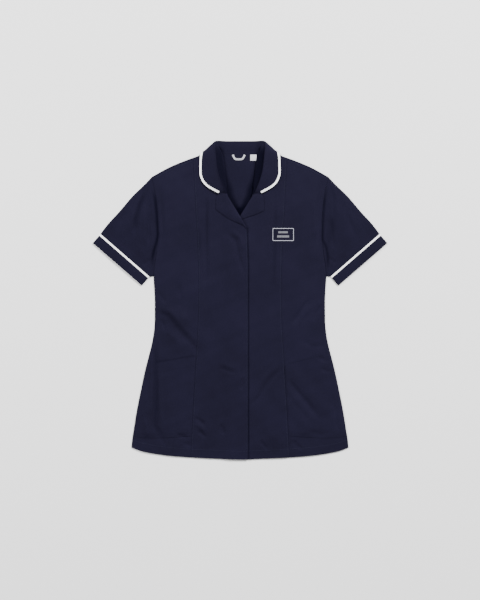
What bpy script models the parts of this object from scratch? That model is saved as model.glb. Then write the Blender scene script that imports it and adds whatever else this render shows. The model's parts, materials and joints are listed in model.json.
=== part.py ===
"""A work tunic laid flat on its back on a table.

X runs across the garment (+X is the wearer's left), Y up it towards the collar and Z up off the table.
The origin is on the table, under the middle of the garment. Lengths below are in millimetres and become
metres where a mesh is made.

Every piece of cloth is a wall with a real thickness. A flat piece is a grid of points between its four
edges, lifted by a height function and thickened upwards. The sleeves and cuffs are flattened tubes of
closed rings, and the collar is a wall through sections that run from the neck seam over the roll to the
outer edge. Most pieces are made in their own side's coordinates, with x counted outwards from the centre
line, and `side` (+1 or -1) places them.
"""

from typing import Callable, NamedTuple

import bmesh
import bpy
import numpy as np

MM = 0.001

# Cloth
CLOTH = 1.0  # thickness of one layer
SEAM = 0.3  # gap between pieces that are sewn to each other
LOOSE = 0.7  # gap between pieces that only lie on each other
BRAID = 7.0  # width of the white braid on collar and cuffs

# Front opening
WRAP = 19.5  # how far the upper front reaches past the centre line at the hem
WRAP_AT_BREAK = 16.8  # the same where the lapel turns back
UNDERLAP = 17.0  # how far the lower front reaches past it
BREAK_Y = 170.0  # where the lapels start to turn back
FREE_EDGE_CURVE = 84.0  # length below the break over which the upper front's edge draws in
GORGE_Y = 252.0  # where lapel and collar meet at the neckline
NECK_POINT = (50.0, 366.0)  # where shoulder seam and neckline meet
NECK_SEAM_Y = 351.6  # back neck seam at the centre

# Key heights that the rows of every panel share
HEM_Y = -382.8  # hem at the centre front
SIDE_HEM_Y = -354.0
POCKET_BOTTOM_Y = -326.0
HIP_Y = -140.0  # about level with the pocket openings
UNDERARM_Y = 57.0
SHOULDER_POINT = (212.0, 295.0)
PRINCESS_TOP_X = 113.0

# Rows of quads in each stretch: hem to pocket bottom, pocket, up to the underarm, up to the shoulder
ROWS = (2, 9, 9, 12)
ARMHOLE_ROWS = ROWS[3]
ROLL_ROWS = 4  # rows from the break up to the gorge
SIDE_COLUMNS = 7
CENTRE_COLUMNS = 9
LAPEL_COLUMNS = 4
SHOULDER_COLUMNS = 4
BACK_NECK_X = (42.0, 31.0, 18.0, 0.0)  # the back's columns along the neck seam

# Relief of the laid cloth
SWELL = 0.9  # how far the middle of a front stands off the back
SWELL_RUN = 34.0  # distance from a sewn edge over which it comes up
HEM_SWELL = 0.35  # share of it that is left at the open hem
HEM_SWELL_RUN = 60.0
LIFTED_X = (94.0, 152.0)  # the collar lifts the cloth fully within the first, not at all past the second
LIFTED_Y = (262.0, 328.0)  # not at all below the first, fully above the second
FRONT_OVER_COLLAR = 0.6  # how far the fronts stand off the back there
ROLL_LIFT = 2.6  # how far the cloth stands up at the lapel's roll
ROLL_LIFT_RUN = 44.0
UNDERLAP_X = (-46.0, -20.0)  # where the upper front climbs onto the lower one
LAPEL_CROSSING_Y = 196.0  # height on the centre line where the upper front passes over the lower lapel
CROSSING_LIFT = 3.2
CROSSING_RUN = 60.0

# Lapels
LOWER_ROLL_END_Y = 184.0
UPPER_ROLL_END = 1.6  # above the break
LOWER_POINT_CUT = 14.0  # left off the end of the lower lapel, which the upper front hides
LAPEL_ON_ROLL = 0.2  # how far outside the roll line a lapel starts

# Sleeve and cuff
CUFF_OUTER = (353.2, 136.8)  # ends of the cuff's lower edge
CUFF_INNER = (235.6, 34.6)
CUFF_BAND = 21.3  # cuff below the braid
SLEEVE_ROWS = 8
FULLNESS = 1.0  # how far the sleeve's upper side stands off in the middle
FULL_FROM = 0.35  # share of its length at which it does
FLAT_FROM = 0.6  # share of its length from which the folds run out towards the cuff
FOLD_CORNER = 0.7  # rounding of a tube's side folds, outside and on the lining
LINING_CORNER = 0.2

# Collar
COLLAR_UNDER = 1.9  # how far the back panel is lifted by the collar that is folded under it
COLLAR_STATION_STEPS = 2  # sections between two stations
BRAID_COLUMNS = 2
ROLL_FULLNESS = 1.5  # length of the roll's tangents, in widths of the roll
POINT_SPACING = 1.0  # least distance of a cut's ends from the points kept between them

# Label and loop at the back neck
LOOP_WIDTH = 5.2
LOOP_X = (-19.2, 12.7)
LOOP_LOW_Y = 336.0
LOOP_BEND = 12.0
LABEL_X = (24.0, 40.0)
LABEL_Y = (333.8, 348.6)

NAVY = (0.016, 0.017, 0.036)
WHITE = (0.86, 0.86, 0.85)


class Edge(NamedTuple):
    """One point of an outline: how far out it is at a height."""

    y: float
    out: float


class Fall(NamedTuple):
    """One point of an edge that runs across: its height at a distance from the centre line."""

    x: float
    y: float


class Fold(NamedTuple):
    """A soft ridge along a line, or a trough where height is negative. X is the wearer's left."""

    x0: float
    y0: float
    x1: float
    y1: float
    height: float
    width: float


class LapelEdge(NamedTuple):
    """Outer edge of a lapel from the notch to the break, for the upper and the lower lapel."""

    x: float
    upper: float
    lower: float


class Station(NamedTuple):
    """One section of the collar's right half, each place as x, y, z of the middle of the cloth."""

    seam: tuple[float, float, float]
    crest: tuple[float, float, float]
    turn: tuple[float, float, float]
    middle: tuple[float, float, float]
    edge: tuple[float, float, float]


SIDE_EDGE = (
    Edge(-354.0, 260.4),
    Edge(-336.0, 258.6),
    Edge(-307.0, 254.0),
    Edge(-278.0, 249.5),
    Edge(-250.0, 244.5),
    Edge(-221.0, 238.5),
    Edge(-192.0, 232.5),
    Edge(-163.0, 226.0),
    Edge(-134.0, 218.5),
    Edge(-106.0, 211.5),
    Edge(-77.0, 206.4),
    Edge(-48.0, 204.2),
    Edge(-5.0, 204.0),
    Edge(24.0, 205.2),
    Edge(57.0, 207.0),
    Edge(80.0, 205.0),
    Edge(115.0, 199.6),
    Edge(160.0, 196.4),
    Edge(205.0, 197.6),
    Edge(255.0, 203.0),
    Edge(295.0, 212.0),
)

HEM_EDGE = (
    Fall(0.0, -382.8),
    Fall(62.0, -380.4),
    Fall(120.0, -377.6),
    Fall(178.0, -372.6),
    Fall(235.0, -363.0),
    Fall(260.4, -354.0),
)

SHOULDER_EDGE = (
    Fall(50.0, 366.0),
    Fall(98.0, 346.2),
    Fall(130.0, 334.8),
    Fall(166.0, 320.0),
    Fall(192.0, 306.4),
    Fall(212.0, 295.0),
)

PRINCESS_EDGE = (
    Edge(-376.0, 118.4),
    Edge(-288.0, 114.0),
    Edge(-218.0, 110.0),
    Edge(-134.0, 105.0),
    Edge(-48.0, 100.4),
    Edge(21.0, 99.0),
    Edge(79.0, 100.0),
    Edge(158.0, 103.0),
    Edge(206.0, 106.0),
    Edge(259.0, 108.6),
    Edge(343.0, 113.0),
)

# Neckline of the fronts, from the break up the roll of the lapel and the neck seam
NECK_EDGE = (
    Edge(170.0, -16.8),
    Edge(208.0, 4.5),
    Edge(236.0, 21.6),
    Edge(252.0, 30.4),
    Edge(267.0, 33.0),
    Edge(286.0, 35.6),
    Edge(314.0, 38.6),
    Edge(350.0, 43.0),
    Edge(366.0, 50.0),
)

# Back neck seam from the centre to the neck point
BACK_NECK = (
    Fall(0.0, 351.6),
    Fall(16.0, 351.8),
    Fall(31.0, 353.2),
    Fall(42.0, 358.0),
    Fall(50.0, 366.0),
)

OVERARM = (
    Fall(212.0, 295.0),
    Fall(228.0, 278.0),
    Fall(257.0, 250.0),
    Fall(290.0, 211.5),
    Fall(317.0, 182.0),
    Fall(332.8, 161.6),
)

LAPEL_EDGE = (
    LapelEdge(51.0, 254.0, 254.0),
    LapelEdge(57.5, 242.0, 242.0),
    LapelEdge(58.0, 217.0, 214.0),
    LapelEdge(38.6, 202.6, 205.0),
    LapelEdge(20.0, 190.6, 199.0),
    LapelEdge(4.0, 184.0, 193.5),
    LapelEdge(-7.2, 178.8, 187.0),
    LapelEdge(-15.6, 170.8, 182.0),
)

# Pocket opening at the princess seam and at the side seam, by side: the wearer's left is +1
POCKET_OPENING = {1: (-157.0, -128.0), -1: (-134.0, -153.0)}

# The broad folds of the front; fine creases are left out here
FRONT_FOLDS = (
    Fold(-186.0, 262.0, -178.0, 120.0, 1.5, 17.0),
    Fold(184.0, 262.0, 180.0, 110.0, 1.4, 17.0),
    Fold(-62.0, 236.0, -68.0, 40.0, 1.1, 16.0),
    Fold(66.0, 236.0, 64.0, 60.0, 0.9, 16.0),
    Fold(-188.0, -14.0, -136.0, -46.0, 1.6, 15.0),
    Fold(-136.0, -46.0, -88.0, -98.0, 1.5, 16.0),
    Fold(-178.0, -78.0, -146.0, -112.0, 1.3, 15.0),
    Fold(-224.0, -210.0, -236.0, -322.0, 1.4, 14.0),
    Fold(-182.0, -190.0, -176.0, -296.0, 1.2, 18.0),
    Fold(126.0, -176.0, 200.0, -262.0, 1.5, 16.0),
    Fold(92.0, -228.0, 160.0, -300.0, 1.1, 17.0),
    Fold(-60.0, -262.0, -88.0, -344.0, 1.1, 18.0),
    Fold(84.0, -330.0, 104.0, -372.0, 1.1, 16.0),
    Fold(176.0, 32.0, 140.0, -18.0, 1.0, 18.0),
    Fold(10.0, 130.0, -30.0, 92.0, 1.0, 18.0),
    Fold(-40.0, -150.0, -6.0, -186.0, 0.9, 18.0),
)

SLEEVE_FOLDS = {
    1: (Fold(232.0, 236.0, 262.0, 150.0, 1.2, 15.0), Fold(282.0, 186.0, 250.0, 110.0, 1.0, 17.0)),
    -1: (Fold(-240.0, 252.0, -276.0, 168.0, 1.4, 14.0), Fold(-232.0, 204.0, -236.0, 118.0, 1.3, 14.0)),
}

# From the centre back, where the collar is folded flat under itself, round the shoulder to the front end
COLLAR = (
    Station((0, 352.2, 2.4), (0, 381.2, 2.4), (0, 381.2, 0.5), (0, 360.0, 0.5), (0, 338.0, 0.5)),
    Station((19.6, 352.8, 2.4), (22, 381.2, 2.4), (22, 381.2, 0.5), (24, 360.0, 0.5), (26, 338.0, 0.5)),
    Station((31, 354.8, 2.4), (39, 381.2, 2.6), (41, 381.4, 0.6), (46, 360.0, 0.5), (50, 338.0, 0.5)),
    Station((40.2, 359.2, 2.6), (50, 380.8, 3.6), (55, 381.6, 1.5), (64, 361.5, 0.6), (70, 338.6, 0.5)),
    Station((46.4, 364, 3.6), (56.4, 379.4, 5.4), (62.0, 380, 3.4), (76, 364.5, 1.1), (83, 340.8, 0.5)),
    Station((50.4, 368.6, 5.2), (59, 376.4, 7.6), (65.4, 375.6, 5.6), (83.0, 360.4, 1.8), (88, 342.6, 0.5)),
    Station((48.6, 362, 6.5), (59.2, 370.4, 9.8), (66, 368.8, 8.6), (85.4, 359.0, 3.3), (93.2, 350.6, 0.9)),
    Station((46, 356, 6.9), (58.6, 363, 11.4), (65.4, 361.4, 10.6), (83.6, 355.0, 7.4), (94.6, 352.4, 4.2)),
    Station((43.4, 349, 7.0), (57.4, 354.4, 12.4), (64, 353, 11.9), (82.0, 347.2, 9.0), (96.4, 345.6, 7.2)),
    Station((40.8, 334, 7.0), (55.8, 337, 13.0), (62.4, 336, 12.6), (81.6, 332.4, 9.6), (97.4, 331, 7.0)),
    Station((38.6, 314, 6.8), (53.2, 315, 13.0), (59.6, 313.6, 12.6), (79, 309.6, 9.4), (97.8, 306, 6.6)),
    Station((36.2, 292, 6.4), (48, 293, 12.6), (54, 291, 12.2), (73, 287.6, 9.0), (92.4, 286.4, 6.2)),
    Station((33.8, 273, 6.3), (40.4, 272.4, 11.8), (46, 270.6, 11.5), (62, 269.6, 8.8), (80.6, 272.0, 6.2)),
    Station((32.2, 263, 6.6), (35.8, 262.2, 11.4), (40.6, 260.8, 11.2), (52, 261.2, 9.2), (65.6, 262.6, 6.6)),
    Station((29.8, 253.4, 8.6), (31.6, 253.4, 11.2), (35.4, 252.8, 11.2), (43, 253.8, 9.6), (51.6, 255.2, 7.4)),
)


def smooth_curve(at: np.ndarray, values: np.ndarray) -> Callable[[np.ndarray], np.ndarray]:
    """A cubic through the given points that doesn't swing past them, held flat beyond its ends."""
    at = np.asarray(at, float)
    values = np.asarray(values, float)
    steps = np.diff(at)
    slopes = np.diff(values) / steps
    tangents = np.concatenate([slopes[:1], np.zeros(len(values) - 2), slopes[-1:]])
    before, after = slopes[:-1], slopes[1:]
    bends = before * after > 0
    near, far = 2 * steps[1:] + steps[:-1], steps[1:] + 2 * steps[:-1]
    mean = (near + far) / (near / np.where(bends, before, 1) + far / np.where(bends, after, 1))
    tangents[1:-1][bends] = mean[bends]

    def read(place: np.ndarray) -> np.ndarray:
        """The curve at some places."""
        place = np.clip(np.asarray(place, float), at[0], at[-1])
        i = np.clip(np.searchsorted(at, place, side="right") - 1, 0, len(at) - 2)
        t = (place - at[i]) / steps[i]
        return (
            (2 * t**3 - 3 * t**2 + 1) * values[i]
            + (t**3 - 2 * t**2 + t) * steps[i] * tangents[i]
            + (3 * t**2 - 2 * t**3) * values[i + 1]
            + (t**3 - t**2) * steps[i] * tangents[i + 1]
        )

    return read


half_width = smooth_curve([e.y for e in SIDE_EDGE], [e.out for e in SIDE_EDGE])
princess_x = smooth_curve([e.y for e in PRINCESS_EDGE], [e.out for e in PRINCESS_EDGE])
neckline_x = smooth_curve([e.y for e in NECK_EDGE], [e.out for e in NECK_EDGE])
hem_y = smooth_curve([f.x for f in HEM_EDGE], [f.y for f in HEM_EDGE])
shoulder_y = smooth_curve([f.x for f in SHOULDER_EDGE], [f.y for f in SHOULDER_EDGE])
back_neck_y = smooth_curve([f.x for f in BACK_NECK], [f.y for f in BACK_NECK])
overarm_y = smooth_curve([f.x for f in OVERARM], [f.y for f in OVERARM])


def ramp(value: np.ndarray) -> np.ndarray:
    """0 below 0, 1 above 1 and a smooth step between."""
    t = np.clip(value, 0.0, 1.0)
    return t * t * (3 - 2 * t)


def line_distance(x: np.ndarray, y: np.ndarray, start: tuple, end: tuple) -> np.ndarray:
    """Distance in plan from each point to a straight line between two places."""
    dx, dy = end[0] - start[0], end[1] - start[1]
    t = np.clip(((x - start[0]) * dx + (y - start[1]) * dy) / (dx * dx + dy * dy), 0.0, 1.0)
    return np.hypot(x - start[0] - t * dx, y - start[1] - t * dy)


def fold_height(x: np.ndarray, y: np.ndarray, folds: tuple) -> np.ndarray:
    """Sum of the folds: each is bell-shaped across its line and fades past its ends."""
    total = np.zeros(np.broadcast(x, y).shape)
    for fold in folds:
        away = line_distance(x, y, (fold.x0, fold.y0), (fold.x1, fold.y1))
        total = total + fold.height * np.exp(-((away / fold.width) ** 2))
    return total


def collar_lift(x: np.ndarray, y: np.ndarray) -> np.ndarray:
    """Share, 0 to 1, by which the folded collar lifts what lies over it."""
    from_side = (LIFTED_X[1] - np.abs(x)) / (LIFTED_X[1] - LIFTED_X[0])
    from_below = (y - LIFTED_Y[0]) / (LIFTED_Y[1] - LIFTED_Y[0])
    return ramp(from_side) * ramp(from_below)


def back_under(x: np.ndarray, y: np.ndarray) -> np.ndarray:
    """Height of the back's underside: on the table, except over the folded collar."""
    return COLLAR_UNDER * collar_lift(x, y)


def inside(x: np.ndarray, y: np.ndarray) -> np.ndarray:
    """0 at the side, armhole and shoulder edges, 1 well inside, and part of it at the open hem."""
    sides = ramp((half_width(y) - np.abs(x)) / SWELL_RUN)
    shoulders = ramp((shoulder_y(np.abs(x)) - y) / SWELL_RUN)
    hem = HEM_SWELL + (1 - HEM_SWELL) * ramp((y - hem_y(np.abs(x))) / HEM_SWELL_RUN)
    return sides * shoulders * hem


def front_under(x: np.ndarray, y: np.ndarray) -> np.ndarray:
    """Height of the fronts' underside over the back, with the broad folds and the raised V neckline."""
    swell = (SWELL + fold_height(x, y, FRONT_FOLDS)) * inside(x, y)
    gap = SEAM + FRONT_OVER_COLLAR * collar_lift(x, y)
    roll = line_distance(np.abs(x), y, (neckline_x(GORGE_Y), GORGE_Y), (-WRAP_AT_BREAK, BREAK_Y))
    lift = ROLL_LIFT * np.clip(1 - roll / ROLL_LIFT_RUN, 0.0, 1.0) ** 2
    return back_under(x, y) + CLOTH + gap + swell + lift


def upper_front_under(x: np.ndarray, y: np.ndarray) -> np.ndarray:
    """Height of the upper front's underside, which also clears the lower front and its lapel."""
    over_underlap = (CLOTH + LOOSE) * ramp((x - UNDERLAP_X[0]) / (UNDERLAP_X[1] - UNDERLAP_X[0]))
    crossing = np.hypot(x, y - LAPEL_CROSSING_Y)
    over_lapel = CROSSING_LIFT * np.clip(1 - crossing / CROSSING_RUN, 0.0, 1.0) ** 2
    return front_under(x, y) + over_underlap + over_lapel


def patch(bottom: np.ndarray, top: np.ndarray, left: np.ndarray, right: np.ndarray) -> np.ndarray:
    """Grid of plan points, rows by columns by 2, between four edges that share their corners."""
    rows, columns = len(left), len(bottom)
    u = np.linspace(0, 1, columns)[None, :, None]
    v = np.linspace(0, 1, rows)[:, None, None]
    corners = (
        (1 - u) * (1 - v) * bottom[0]
        + u * (1 - v) * bottom[-1]
        + (1 - u) * v * top[0]
        + u * v * top[-1]
    )
    return (1 - v) * bottom + v * top + (1 - u) * left[:, None] + u * right[:, None] - corners


def rows_between(*keys: float) -> np.ndarray:
    """Heights of a panel's rows from the hem up, with the shared number of rows in each stretch."""
    stretches = [
        np.linspace(low, high, count, endpoint=False)
        for low, high, count in zip(keys[:-1], keys[1:], ROWS)
    ]
    return np.concatenate([*stretches, keys[-1:]])


def lifted(plan: np.ndarray, under: Callable, side: int = 1) -> np.ndarray:
    """Points of a plan grid, put on the given side and lifted to a height function of world x and y."""
    x = plan[..., 0] * side
    y = plan[..., 1]
    return np.stack([x, y, under(x, y)], axis=-1)


def raised(points: np.ndarray, by: float) -> np.ndarray:
    """The same points moved up."""
    return points + np.array([0.0, 0.0, by])


def mirrored(points: np.ndarray, side: int) -> np.ndarray:
    """Points made for the wearer's left, put on the given side."""
    return points * np.array([side, 1.0, 1.0])


def cloth_material(name: str, colour: tuple, roughness: float) -> bpy.types.Material:
    """A plain cloth finish."""
    material = bpy.data.materials.new(name)
    material.use_nodes = True
    shader = material.node_tree.nodes["Principled BSDF"]
    shader.inputs["Base Color"].default_value = (*colour, 1.0)
    shader.inputs["Roughness"].default_value = roughness
    shader.inputs["Metallic"].default_value = 0.0
    return material


class Tunic:
    """Collects the pieces in one collection."""

    def __init__(self) -> None:
        """Makes the collection."""
        self.collection = bpy.data.collections.new("work_tunic")
        bpy.context.scene.collection.children.link(self.collection)

    def add_wall(
        self, name: str, lower: np.ndarray, upper: np.ndarray, colour: tuple = NAVY, ring: bool = False
    ) -> None:
        """A closed solid between two equal grids of points, joined all round their borders.

        A ring's columns close on themselves, so only its first and last rows are borders.
        """
        rows, columns = lower.shape[:2]
        count = rows * columns
        index = np.arange(count).reshape(rows, columns)
        if ring:
            index = np.concatenate([index, index[:, :1]], axis=1)
        a, b, c, d = (index[i, j].ravel() for i, j in self.corner_slices())
        faces = [*zip(a, b, c, d), *zip(d + count, c + count, b + count, a + count)]
        borders = [index[0], index[-1]]
        if not ring:
            borders += [index[:, 0], index[:, -1]]
        for line in borders:
            faces += zip(line[:-1], line[1:], line[1:] + count, line[:-1] + count)
        points = np.concatenate([lower.reshape(-1, 3), upper.reshape(-1, 3)]) * MM
        mesh = bpy.data.meshes.new(name)
        mesh.from_pydata(points.tolist(), [], [tuple(int(i) for i in face) for face in faces])
        shape = bmesh.new()
        shape.from_mesh(mesh)
        bmesh.ops.triangulate(shape, faces=shape.faces[:], quad_method="SHORT_EDGE")
        bmesh.ops.recalc_face_normals(shape, faces=shape.faces[:])
        shape.to_mesh(mesh)
        shape.free()
        mesh.materials.append(cloth_material(name, colour, 0.85))
        self.collection.objects.link(bpy.data.objects.new(name, mesh))

    @staticmethod
    def corner_slices() -> tuple:
        """Index pairs of the four corners of every quad in a grid, in order round it."""
        first, second = slice(None, -1), slice(1, None)
        return (first, first), (first, second), (second, second), (second, first)


def back_plan() -> np.ndarray:
    """Plan of the back: hem, side seams and armholes, shoulders and neck seam."""
    shoulder = np.linspace(SHOULDER_POINT[0], NECK_POINT[0], SHOULDER_COLUMNS + 1)
    top_right = [*zip(shoulder, shoulder_y(shoulder)), *zip(BACK_NECK_X, back_neck_y(BACK_NECK_X))]
    top = np.array([(-x, y) for x, y in top_right] + top_right[-2::-1])
    across = np.linspace(-SIDE_EDGE[0].out, SIDE_EDGE[0].out, len(top))
    bottom = np.stack([across, hem_y(np.abs(across))], axis=1)
    rows = rows_between(SIDE_HEM_Y, POCKET_BOTTOM_Y, HIP_Y, UNDERARM_Y, SHOULDER_POINT[1])
    right = np.stack([half_width(rows), rows], axis=1)
    return patch(bottom, top, right * (-1, 1), right)


def side_front_plan(side: int) -> np.ndarray:
    """Plan of a side front: princess seam to side seam and armhole. One row follows the pocket opening."""
    inner_opening, outer_opening = POCKET_OPENING[side]
    inner_rows = princess_rows(inner_opening)
    outer_rows = rows_between(SIDE_HEM_Y, POCKET_BOTTOM_Y, outer_opening, UNDERARM_Y, SHOULDER_POINT[1])
    inner = np.stack([princess_x(inner_rows) + SEAM / 2, inner_rows], axis=1)
    outer = np.stack([half_width(outer_rows), outer_rows], axis=1)
    hem_x = np.linspace(inner[0, 0], outer[0, 0], SIDE_COLUMNS + 1)
    top_x = np.linspace(inner[-1, 0], outer[-1, 0], SIDE_COLUMNS + 1)
    bottom = np.stack([hem_x, hem_y(hem_x)], axis=1)
    top = np.stack([top_x, shoulder_y(top_x)], axis=1)
    return patch(bottom, top, inner, outer)


def princess_rows(opening: float) -> np.ndarray:
    """Heights of the rows at a princess seam, which both panels there share."""
    hem = float(hem_y(PRINCESS_EDGE[0].out))
    return rows_between(hem, POCKET_BOTTOM_Y, opening, UNDERARM_Y, float(shoulder_y(PRINCESS_TOP_X)))


def centre_front_plan(side: int, past_centre: float, past_at_break: float) -> np.ndarray:
    """Plan of a centre front: free edge, lapel roll and neckline to the princess seam."""
    outer_rows = princess_rows(POCKET_OPENING[side][0])
    outer = np.stack([princess_x(outer_rows) - SEAM / 2, outer_rows], axis=1)
    up_to_underarm = rows_between(HEM_Y, POCKET_BOTTOM_Y, HIP_Y, UNDERARM_Y)
    up_to_break = np.linspace(UNDERARM_Y, BREAK_Y, ROWS[3] - 2 * ROLL_ROWS)[1:]
    up_the_roll = np.linspace(BREAK_Y, GORGE_Y, ROLL_ROWS + 1)[1:]
    above_gorge = np.linspace(GORGE_Y, NECK_POINT[1], ROLL_ROWS + 2)[1:]
    rows = np.concatenate([up_to_underarm, up_to_break, up_the_roll, above_gorge])
    straight = (HEM_Y, BREAK_Y - FREE_EDGE_CURVE, BREAK_Y)
    edge_x = np.interp(rows, straight, (-past_centre, -past_centre, -past_at_break))
    inner_x = np.where(rows > BREAK_Y, neckline_x(rows), edge_x)
    inner = np.stack([inner_x, rows], axis=1)
    inner[0, 1] = float(hem_y(past_centre))
    share = np.linspace(0, 1, CENTRE_COLUMNS + 1)
    hem_x = inner[0, 0] + (outer[0, 0] - inner[0, 0]) * share
    top_x = inner[-1, 0] + (outer[-1, 0] - inner[-1, 0]) * share
    bottom = np.stack([hem_x, hem_y(np.abs(hem_x))], axis=1)
    top = np.stack([top_x, shoulder_y(top_x)], axis=1)
    return patch(bottom, top, inner, outer)


def add_body(tunic: Tunic) -> dict:
    """Back, centre fronts and side fronts. Returns the side fronts' outer points for the pockets."""
    back = lifted(back_plan(), back_under)
    tunic.add_wall("back", back, raised(back, CLOTH))
    fronts = (
        ("front_centre_right", -1, WRAP, WRAP_AT_BREAK, upper_front_under),
        ("front_centre_left", 1, UNDERLAP, UNDERLAP, front_under),
    )
    for name, side, past_centre, past_at_break, under in fronts:
        points = lifted(centre_front_plan(side, past_centre, past_at_break), under, side)
        tunic.add_wall(name, points, raised(points, CLOTH))
    outer = {}
    for name, side in (("front_side_right", -1), ("front_side_left", 1)):
        points = lifted(side_front_plan(side), front_under, side)
        outer[side] = raised(points, CLOTH)
        tunic.add_wall(name, points, outer[side])
    return outer


def add_pockets(tunic: Tunic, side_fronts: dict) -> None:
    """Patch pockets caught in the princess and side seams, made from the side fronts' own rows."""
    for name, side in (("pocket_right", -1), ("pocket_left", 1)):
        rows = side_fronts[side][ROWS[0] : ROWS[0] + ROWS[1] + 1]
        under = raised(rows, SEAM)
        under[-1, 1:-1, 2] += LOOSE
        tunic.add_wall(name, under, raised(under, CLOTH))


def lapel_plan(upper: bool) -> np.ndarray:
    """Plan of a turned-back lapel, a row for each place along its roll and outer edge."""
    above, below = ROLL_ROWS - 1, ROLL_ROWS + 1
    edge = np.array([(p.x, p.upper if upper else p.lower) for p in LAPEL_EDGE])
    along = np.concatenate([[0.0], np.cumsum(np.hypot(*np.diff(edge, axis=0).T))])
    corner = along[2]
    end = along[-1] if upper else along[-1] - LOWER_POINT_CUT
    places = np.concatenate([np.linspace(0, corner, above + 1), np.linspace(corner, end, below + 1)[1:]])
    outer = np.stack([np.interp(places, along, edge[:, 0]), np.interp(places, along, edge[:, 1])], axis=1)
    lowest = BREAK_Y + UPPER_ROLL_END if upper else LOWER_ROLL_END_Y
    heights = np.linspace(GORGE_Y, lowest, above + below + 1)
    roll = np.stack([neckline_x(heights) + LAPEL_ON_ROLL, heights], axis=1)
    share = np.linspace(0, 1, LAPEL_COLUMNS + 1)[None, :, None]
    return roll[:, None] + (outer - roll)[:, None] * share


def add_lapels(tunic: Tunic) -> None:
    """The upper lapel on the upper front and the lower one on the lower front."""
    for name, side, under in (("lapel_right", -1, upper_front_under), ("lapel_left", 1, front_under)):
        points = lifted(lapel_plan(side < 0), under, side)
        points = raised(points, CLOTH + SEAM)
        points[:, 1:, 2] += LOOSE - SEAM
        tunic.add_wall(name, points, raised(points, CLOTH))


def toward(points: np.ndarray, target: np.ndarray, distance: float) -> np.ndarray:
    """Points moved a distance towards others."""
    away = target - points
    return points + away / np.linalg.norm(away, axis=-1, keepdims=True) * distance


def tube_rings(plan: np.ndarray, top: np.ndarray, wall: float) -> tuple[np.ndarray, np.ndarray]:
    """Outer and inner rings of a flattened tube that lies on the table.

    plan is rows by columns by 2, and top the height of its upper surface at each of those points. Each
    ring runs along the table side and back along the upper side, with both folds rounded off.
    """

    def ring(inset: float, corner: float, low: float, high: np.ndarray) -> np.ndarray:
        """Rings set in from the side folds, between a low plane and the heights above it."""
        flat = plan.copy()
        first = toward(plan[:, 0], plan[:, 1], inset)
        last = toward(plan[:, -1], plan[:, -2], inset)
        flat[:, 0] = toward(first, plan[:, 1], corner)
        flat[:, -1] = toward(last, plan[:, -2], corner)
        below = np.concatenate([flat, np.full_like(top, low)[..., None]], axis=2)
        above = np.concatenate([flat, high[..., None]], axis=2)
        sides = []
        for fold, column in ((last, -1), (first, 0)):
            room = high[:, column] - low
            for share in (0.25, 0.75) if column else (0.75, 0.25):
                sides.append(np.concatenate([fold, (low + share * room)[:, None]], axis=1)[:, None])
        return np.concatenate([below, *sides[:2], above[:, ::-1], *sides[2:]], axis=1)

    outer = ring(0.0, FOLD_CORNER, 0.0, top)
    inner = ring(wall, LINING_CORNER, wall, top - wall)
    return outer, inner


def sleeve_plan() -> np.ndarray:
    """Plan of a sleeve from the armhole to the braid, columns from the overarm to the underarm."""
    heights = np.linspace(SHOULDER_POINT[1], UNDERARM_Y, ARMHOLE_ROWS + 1)
    armhole = np.stack([half_width(heights) + SEAM, heights], axis=1)
    armhole[0, 1] -= SEAM
    outer, inner, up = cuff_corners()
    above = CUFF_BAND + BRAID + SEAM
    cuff_line = np.linspace(outer + up * above, inner + up * above, ARMHOLE_ROWS + 1)
    arm_x = np.linspace(armhole[0, 0], cuff_line[0, 0], SLEEVE_ROWS + 1)
    overarm = np.stack([arm_x, overarm_y(arm_x)], axis=1)
    overarm[0], overarm[-1] = armhole[0], cuff_line[0]
    underarm = np.linspace(armhole[-1], cuff_line[-1], SLEEVE_ROWS + 1)
    return patch(armhole, cuff_line, overarm, underarm)


def cuff_corners() -> tuple[np.ndarray, np.ndarray, np.ndarray]:
    """Outer and inner end of the cuff's lower edge, and the direction up the sleeve."""
    outer, inner = np.array(CUFF_OUTER), np.array(CUFF_INNER)
    along = (outer - inner) / np.linalg.norm(outer - inner)
    return outer, inner, np.array([-along[1], along[0]])


def sleeve_top(plan: np.ndarray, side: int) -> np.ndarray:
    """Height of the sleeve's upper surface: level with the front at the armhole, fuller beyond it."""
    rows, columns = plan.shape[:2]
    v = np.linspace(0, 1, rows)[:, None]
    u = np.linspace(0, 1, columns)[None, :]
    fullness = np.sqrt(np.clip(4 * u * (1 - u), 0, 1)) * ramp(v / FULL_FROM)
    folds = fold_height(plan[..., 0] * side, plan[..., 1], SLEEVE_FOLDS[side])
    folds = folds * (1 - ramp((v - FLAT_FROM) / (1 - FLAT_FROM)))
    at_edge = 2 * CLOTH + SEAM
    return at_edge + (FULLNESS + folds) * fullness


def add_sleeves(tunic: Tunic) -> None:
    """Sleeves, the braid rings and the cuffs, each a tube that continues the one above it."""
    plan = sleeve_plan()
    outer, inner, up = cuff_corners()
    bands = (("cuff_braid", CUFF_BAND + BRAID, CUFF_BAND + SEAM, WHITE), ("cuff", CUFF_BAND, 0.0, NAVY))
    for word, side in (("right", -1), ("left", 1)):
        top = sleeve_top(plan, side)
        outside, lining = tube_rings(plan, top, CLOTH)
        tunic.add_wall(f"sleeve_{word}", mirrored(outside, side), mirrored(lining, side), ring=True)
        for name, start, end, colour in bands:
            lines = [
                np.linspace(outer + up * level, inner + up * level, ARMHOLE_ROWS + 1)
                for level in np.linspace(start, end, 3 if name == "cuff" else 2)
            ]
            band = np.stack(lines)
            outside, lining = tube_rings(band, np.repeat(top[-1:], len(lines), axis=0), CLOTH)
            tunic.add_wall(
                f"{name}_{word}", mirrored(outside, side), mirrored(lining, side), colour, ring=True
            )


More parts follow.
